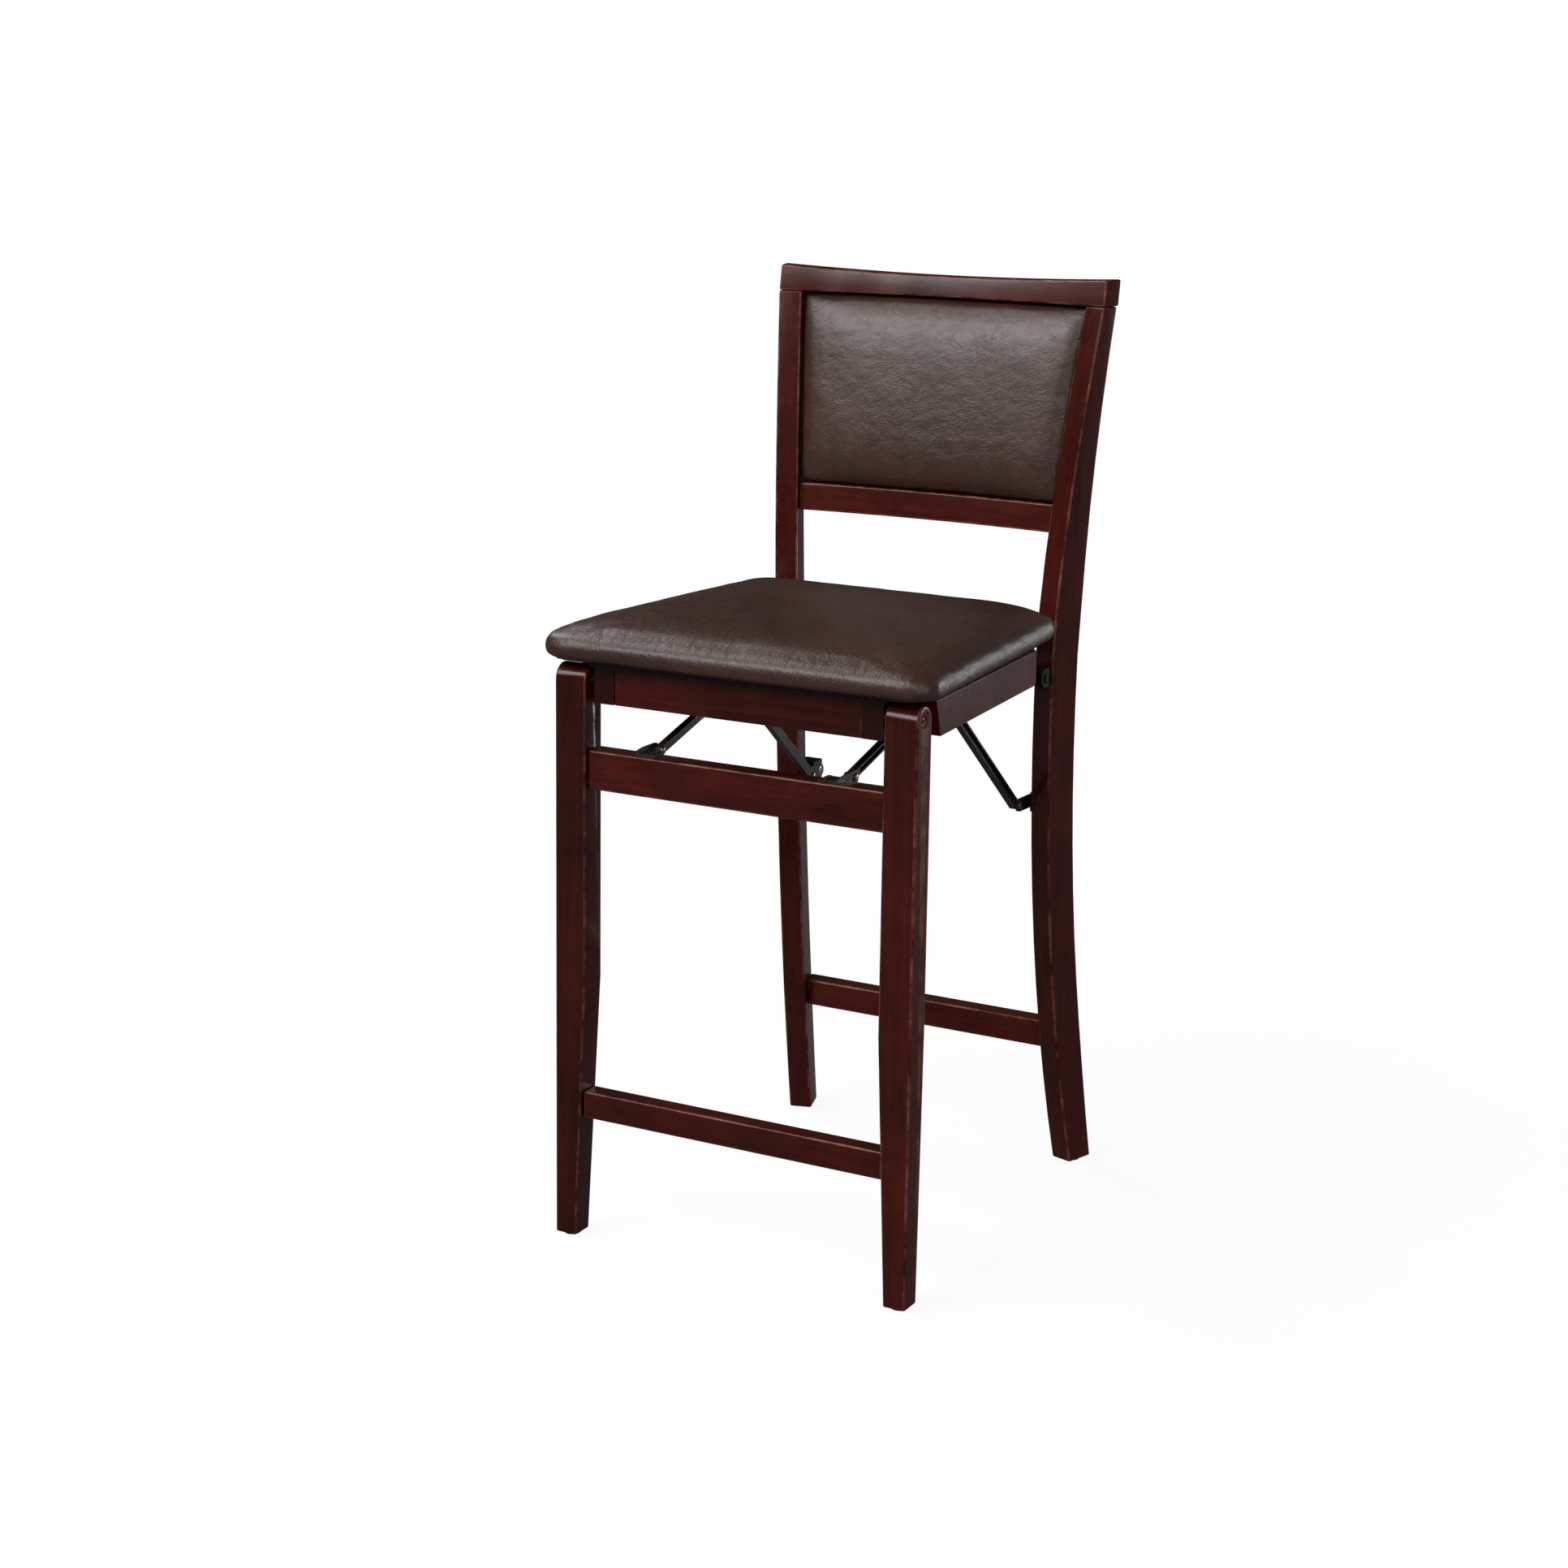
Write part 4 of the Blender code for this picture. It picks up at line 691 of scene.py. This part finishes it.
class StoolStudio(bpy.types.PropertyGroup):
    """Light and camera."""
    focal_length: FloatProperty(
        name="Lens", description="Focal length of the camera", subtype="DISTANCE_CAMERA", min=10, max=300,
        default=70.434)
    key_power: FloatProperty(
        name="Main light", description="Power of the large light at the front left", subtype="POWER",
        unit="POWER", min=0, default=150)
    front_power: FloatProperty(
        name="Front light", description="Power of the light beside the camera", subtype="POWER", unit="POWER",
        min=0, default=40)
    fill_power: FloatProperty(
        name="Fill light", description="Power of the wide light at the right", subtype="POWER", unit="POWER",
        min=0, default=16)
    top_power: FloatProperty(
        name="Top light", description="Power of the light over the stool", subtype="POWER", unit="POWER",
        min=0, default=24)
    rim_power: FloatProperty(
        name="Rear lights", description="Power of the two lights behind the stool", subtype="POWER",
        unit="POWER", min=0, default=30)
    room: FloatProperty(
        name="Room light", description="Brightness of the room round the stool", min=0, max=2, default=0.26)


class StoolSettings(bpy.types.PropertyGroup):
    look: PointerProperty(type=StoolLook)
    shape: PointerProperty(type=StoolShape)
    studio: PointerProperty(type=StoolStudio)


class STOOL_OT_wood(bpy.types.Operator):
    """Smooth the shading of the wooden pieces, stain and lacquer them, each board with its own grain"""
    bl_idname = "stool.wood"
    bl_label = "Wood"

    def execute(self, context):
        look = context.scene.stool.look
        # Each piece's shade is partly painted light and shade
        for seed, (node, (grain, shade)) in enumerate({**WOOD_GRAIN, **SHADED_WOOD_GRAIN}.items()):
            lacquer = paint_wood("lacquer_" + node, grain, shade, seed + 1, look)
            body = frame["nodes"][node]["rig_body"]
            piece = merged_copy(node, node + "_lacquered")
            mark_arrises(piece)
            level_normals(finish_piece(piece, body, lacquer, (node,), smooth=50))
        give(frame["nodes"]["seat_board"], paint_cloth("seat_lining", LINING, 3.0))
        return {"FINISHED"}


class STOOL_OT_metal(bpy.types.Operator):
    """Lacquer the folding hardware, plate its pins and drive its screws"""
    bl_idname = "stool.metal"
    bl_label = "Hardware"

    def execute(self, context):
        look = context.scene.stool.look
        shape = context.scene.stool.shape
        black = paint_metal("black_lacquered_steel", tuple(look.metal_black), tuple(look.metal_bare),
                            roughness=0.36, metallic=0.0, seed=1.7, specular=0.35)
        # Dull hardware sits under the seat: its oxide colour is partly painted shade
        oxide = paint_metal("black_oxide_steel", *OXIDE_AND_PAINTED_SHADE, roughness=0.58, metallic=0.0, seed=2.9, specular=0.08)
        bright = paint_metal("plated_steel", *PLATING, roughness=0.30, metallic=1.0, seed=5.3)
        copper = paint_metal("antique_copper", tuple(look.copper), RUBBED_COPPER,
                             roughness=0.34, metallic=1.0, seed=4.1)
        nylon = paint_plastic("glide_nylon", NYLON, 2.0)
        for prefixes, finish in ((BLACK_METAL, black), (DULL_METAL, oxide), (GLIDES, nylon)):
            for node in nodes_named(prefixes):
                give(frame["nodes"][node], finish)
        for node in nodes_named(BRIGHT_METAL):
            body = frame["nodes"][node]["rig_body"]
            piece = merged_copy(node, node + "_plated")
            level_normals(finish_piece(piece, body, bright, (node,), smooth=50))
        for side_name, side in SIDES:
            self.make_bolt(side_name, side, shape, copper)
            self.drive_screws(side_name, side, shape, black)
        return {"FINISHED"}

    def make_bolt(self, side_name, side, shape, copper):
        """The pivot bolt, with a hexagonal socket sunk in its head."""
        node = "pivot_bolt_" + side_name
        low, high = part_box(node)
        bolt = merged_copy(node, "socket_bolt_" + side_name)
        face = high.x if side > 0 else low.x
        middle = (face, (low.y + high.y) / 2, (low.z + high.z) / 2)
        twice_depth = shape.socket_radius * 1.6
        key = new_primitive("cylinder", vertices=6, radius=shape.socket_radius, depth=twice_depth)
        aim(key, middle, (side, 0, 0))
        cut_with(bolt, key)
        finish_piece(bolt, "seat", copper, (node,), smooth=40)

    def drive_screws(self, side_name, side, shape, black):
        """Two screws down through the rung bracket, and two up into the corner block."""
        plate_low, plate_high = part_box("rung_bracket_" + side_name)
        plate_x = (plate_low.x if side > 0 else plate_high.x) + side * BRACKET_SCREW_X
        plate_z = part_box("upper_front_rung")[1].z + PLATE_THICKNESS
        places = [("front_frame", (plate_x, plate_low.y + y, plate_z), 1, 1.0) for y in BRACKET_SCREWS_Y]
        block_low, block_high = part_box("corner_block_" + side_name)
        block_x = (block_low.x if side > 0 else block_high.x) + side * BLOCK_SCREW_X
        places += [("seat", (block_x, block_low.y + y, block_low.z), -1, BLOCK_SCREW_SHARE)
                   for y in BLOCK_SCREWS_Y]
        for number, (body, place, upward, share) in enumerate(places, 1):
            screw = pan_head_screw(shape.screw_radius * share)
            screw.name = screw.data.name = "screw_%s_%d" % (side_name, number)
            aim(screw, place, (0, 0, upward))
            finish_piece(screw, body, black, (), smooth=35)


class STOOL_OT_seat(bpy.types.Operator):
    """Stuff the seat cushion, draw its cover over the board and staple the lining under it"""
    bl_idname = "stool.seat"
    bl_label = "Seat cushion"

    def execute(self, context):
        shape = context.scene.stool.shape
        look = context.scene.stool.look

        def pinned(points):
            return faded(SEAT_LOW.z + STAPLED_TOP - points[:, 2], STAPLED_FADE)

        seat = sew_cover("seat_cushion", "seat_upholstery", shape.seat_voxel, pinned, SEAT_SHRINK,
                         shape.seat_swell, SEAT_PRESSURE, easing=3)
        points = read_points(seat.data)
        normals = read_normals(seat.data)
        points += normals * self.drawn_cover(points, shape)[:, None]
        points[points[:, 2] < SEAT_LOW.z + FLAT_UNDERSIDE, 2] = SEAT_LOW.z
        write_points(seat.data, points)
        cover = paint_leather("seat_vinyl", turn=(0, 25, 35), stretch=(1.35, 0.40, 0.75), wander=0.018,
                              seed=3.0, look=look, deep=2.1)
        finish_piece(seat, "seat", cover, ("seat_cushion",), smooth=60)
        self.staple_lining(shape)
        return {"FINISHED"}

    def staple_lining(self, shape):
        """A row of staples round the lining, just inside the rails."""
        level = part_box("seat_board")[0].z - STAPLE_SINK
        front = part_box("front_rail")[1].y + STAPLE_INSET
        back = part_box("rear_rail")[0].y - STAPLE_INSET
        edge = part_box("side_rail_right")[0].x - STAPLE_INSET
        places = [(x, y, 0.0) for y, half in ((front, FRONT_ROW_HALF), (back, REAR_ROW_HALF))
                  for x in np.arange(-half, half + 0.001, shape.staple_step)]
        along = np.arange(SIDE_ROW_START, back - STAPLE_INSET, shape.staple_step)
        places += [(side * edge, y, math.pi / 2) for side in (-1, 1) for y in along]
        model = new_primitive("cube", size=1)
        model.scale = STAPLE_SIZE
        fix_place(model)
        apply_modifier(model, "crown", "BEVEL", width=STAPLE_ROUND, segments=3)
        staples = []
        for x, y, turn in places:
            staple = bpy.data.objects.new("staple", model.data.copy())
            bpy.context.scene.collection.objects.link(staple)
            staple.location = (x, y, level)
            staple.rotation_euler = (0, 0, turn)
            fix_place(staple)
            staples.append(staple)
        bpy.data.objects.remove(model)
        select_only(staples[0])
        for staple in staples:
            staple.select_set(True)
        bpy.ops.object.join()
        row = bpy.context.object
        row.name = row.data.name = "lining_staples"
        steel = paint_metal("staple_wire", *STAPLE_WIRE, roughness=0.34, metallic=1.0, seed=6.1)
        finish_piece(row, "seat", steel, (), smooth=35)

    def drawn_cover(self, points, shape):
        """How far the cover stands off: creases over the front roll, gathers at the corners, soft lumps."""
        x, y, z = points.T
        height = (z - SEAT_LOW.z) / (SEAT_HIGH.z - SEAT_LOW.z)
        roll = np.clip(1 - abs(height - ROLL_MIDDLE) / ROLL_HALF, 0, 1)
        frontness = faded(SEAT_LOW.y + FRONT_REACH - y, FRONT_FADE)
        slanted = np.stack([x + 0.45 * y - 0.55 * z, y * 0.25, z * 0.4], axis=1)
        creases = -furrows(slanted, (110, 50, 50), 2.0) * CREASE_DEPTH * roll * (0.30 + frontness * 0.70)
        beside = faded(abs(x) - (SEAT_HIGH.x - CORNER_SIDE_REACH), CORNER_SIDE_FADE)
        before = faded(SEAT_LOW.y + CORNER_FRONT_REACH - y, CORNER_FRONT_FADE)
        bearing = np.arctan2(y - (SEAT_LOW.y + CORNER_RADIUS), abs(x) - (SEAT_HIGH.x - CORNER_RADIUS))
        gathers = -np.clip(np.cos(bearing * GATHERS_ROUND_CORNER), 0, 1) ** 3 * shape.pleat_depth
        gathers = gathers * beside * before * np.clip(1.25 - height * 1.5, 0, 1)
        lumps = ruffled(points, (14, 14, 14), 9.0) * LUMP_HEIGHT * np.clip(height * 2, 0, 1)
        return creases + gathers + lumps


class STOOL_OT_back(bpy.types.Operator):
    """Stuff the back pad and cover the panel behind it"""
    bl_idname = "stool.back"
    bl_label = "Back pad"

    def execute(self, context):
        shape = context.scene.stool.shape
        look = context.scene.stool.look

        def pinned(points):
            slope = (PAD_HIGH.y - PAD_LOW.y) / (PAD_HIGH.z - PAD_LOW.z)
            depth = points[:, 1] - slope * (points[:, 2] - PAD_LOW.z)
            edge = faded(abs(points[:, 0]) - (PAD_HIGH.x - PAD_EDGE_REACH), PAD_EDGE_FADE)
            return edge * (depth > depth.mean())

        pad = sew_cover("back_pad", "back_upholstery", shape.pad_voxel, pinned, PAD_SHRINK,
                        shape.pad_swell, PAD_PRESSURE, easing=2)
        points = read_points(pad.data)
        normals = read_normals(pad.data)
        lumps = ruffled(points, (12, 12, 10), 5.0) * LUMP_HEIGHT
        points += normals * (lumps - furrows(points, (42, 30, 50), 8.0) * SWIRL_DEPTH)[:, None]
        write_points(pad.data, points)
        cover = paint_leather("back_vinyl", turn=(0, 24, 0), stretch=(0.55, 1.0, 1.25), wander=0.045,
                              seed=7.0, look=look, tone=1.15)
        finish_piece(pad, "rear_frame", cover, ("back_pad",), smooth=60)
        covered = paint_leather("rear_vinyl", turn=(0, 12, 0), stretch=(0.6, 1.0, 1.1), wander=0.030,
                                seed=12.0, look=look, tone=0.8)
        give(frame["nodes"]["back_panel"], covered)
        return {"FINISHED"}


class STOOL_OT_stage(bpy.types.Operator):
    """Lay the pale floor, set the lights and stand the camera where the picture was taken"""
    bl_idname = "stool.stage"
    bl_label = "Studio"

    def execute(self, context):
        studio = context.scene.stool.studio
        scene = context.scene
        scene.view_settings.view_transform = "Standard"
        self.lay_floor()
        self.light_room(scene, studio)
        for name, place, size, power in LIGHTS:
            lamp = bpy.data.lights.new(name, "AREA")
            lamp.shape = "RECTANGLE"
            lamp.size, lamp.size_y = size
            lamp.energy = getattr(studio, power)
            holder = bpy.data.objects.new(name, lamp)
            scene.collection.objects.link(holder)
            holder.location = place
            holder.rotation_euler = (LIGHT_TARGET - holder.location).to_track_quat("-Z", "Y").to_euler()
        self.stand_camera(scene, studio)
        return {"FINISHED"}

    def lay_floor(self):
        """A floor that the camera sees white with a soft shadow, and that throws little light on the stool."""
        floor = new_primitive("grid", x_subdivisions=12, y_subdivisions=12, size=FLOOR_SIZE)
        floor.name = "studio_floor"
        paint = Paint("pale_floor")
        straight, glossy = paint.rays()
        seen = straight.most(glossy * GLOSSY_SHARE * FLOOR_GLOSSY_SHARE)
        place = paint.places()
        far = paint.between(paint.vectors("LENGTH", {0: place}, "Value"), FLOOR_NEAR, FLOOR_FAR)
        speck = paint.grains(place, scale=30, detail=3, roughness=0.5)
        tint = paint.blend(speck, FLOOR_PALE, FLOOR_PALEST)
        dull = paint.node("ShaderNodeBsdfDiffuse", {}, {"Color": paint.blend(seen, FLOOR_DARK, tint)})
        glow = paint.node("ShaderNodeEmission", {}, {"Color": (1, 1, 1, 1), "Strength": 1.0})
        lifted = FLOOR_GLOW + far * (1.0 - FLOOR_GLOW)
        mixed = paint.node("ShaderNodeMixShader", {}, {0: seen * lifted, 1: dull, 2: glow})
        output = paint.tree.nodes["Material Output"]
        paint.tree.nodes.remove(paint.tree.nodes["Principled BSDF"])
        paint.feed(output.inputs["Surface"], mixed)
        floor.data.materials.append(paint.material)

    def light_room(self, scene, studio):
        """A room that is white to the camera, dim as light on the stool, and dimmer to glossy rays."""
        world = bpy.data.worlds.new("studio_room")
        scene.world = world
        world.use_nodes = True
        world.cycles.sampling_method = "NONE"  # a lamp sample of the room would pass for a diffuse ray
        paint = Paint(tree=world.node_tree)
        straight, glossy = paint.rays()
        background = world.node_tree.nodes["Background"]
        background.inputs["Color"].default_value = (1, 1, 1, 1)
        dim = studio.room * (1.0 - glossy * (1.0 - GLOSSY_SHARE))
        paint.feed(background.inputs["Strength"], dim.most(straight))

    def stand_camera(self, scene, studio):
        camera = bpy.data.objects.new("stool_camera", bpy.data.cameras.new("stool_camera"))
        scene.collection.objects.link(camera)
        yaw, pitch, roll = (math.radians(a) for a in CAMERA_ANGLES)
        ahead = Vector((-math.sin(yaw) * math.cos(pitch), math.cos(yaw) * math.cos(pitch), -math.sin(pitch)))
        level = Vector((math.cos(yaw), math.sin(yaw), 0))
        upright = level.cross(ahead)
        right = level * math.cos(roll) + upright * math.sin(roll)
        up = right.cross(ahead)
        turn = Matrix((right, up, -ahead)).transposed().to_4x4()
        camera.matrix_world = Matrix.Translation(CAMERA_PLACE) @ turn
        camera.data.sensor_width = CAMERA_SENSOR
        camera.data.lens = studio.focal_length
        camera.data.shift_x, camera.data.shift_y = CAMERA_SHIFT
        camera.data.clip_end = CAMERA_REACH
        scene.camera = camera


class STOOL_PT_finish(bpy.types.Panel):
    """The stool's pieces, in the order they are made"""
    bl_idname = "STOOL_PT_finish"
    bl_label = "Folding counter stool"
    bl_space_type = "VIEW_3D"
    bl_region_type = "UI"
    bl_category = "Stool"

    def draw(self, context):
        settings = context.scene.stool
        for group in (settings.look, settings.shape, settings.studio):
            box = self.layout.box()
            for name in group.bl_rna.properties.keys():
                if name not in ("rna_type", "name"):
                    box.prop(group, name)
        for operator in OPERATORS:
            self.layout.operator(operator.bl_idname)


OPERATORS = (STOOL_OT_wood, STOOL_OT_metal, STOOL_OT_seat, STOOL_OT_back, STOOL_OT_stage)
CLASSES = (StoolLook, StoolShape, StoolStudio, StoolSettings, *OPERATORS, STOOL_PT_finish)


def register():
    for item in CLASSES:
        bpy.utils.register_class(item)
    bpy.types.Scene.stool = PointerProperty(type=StoolSettings)


def unregister():
    del bpy.types.Scene.stool
    for item in reversed(CLASSES):
        bpy.utils.unregister_class(item)


def main():
    register()
    for operator in OPERATORS:
        group, name = operator.bl_idname.split(".")
        getattr(getattr(bpy.ops, group), name)()


if __name__ == "__main__":
    main()
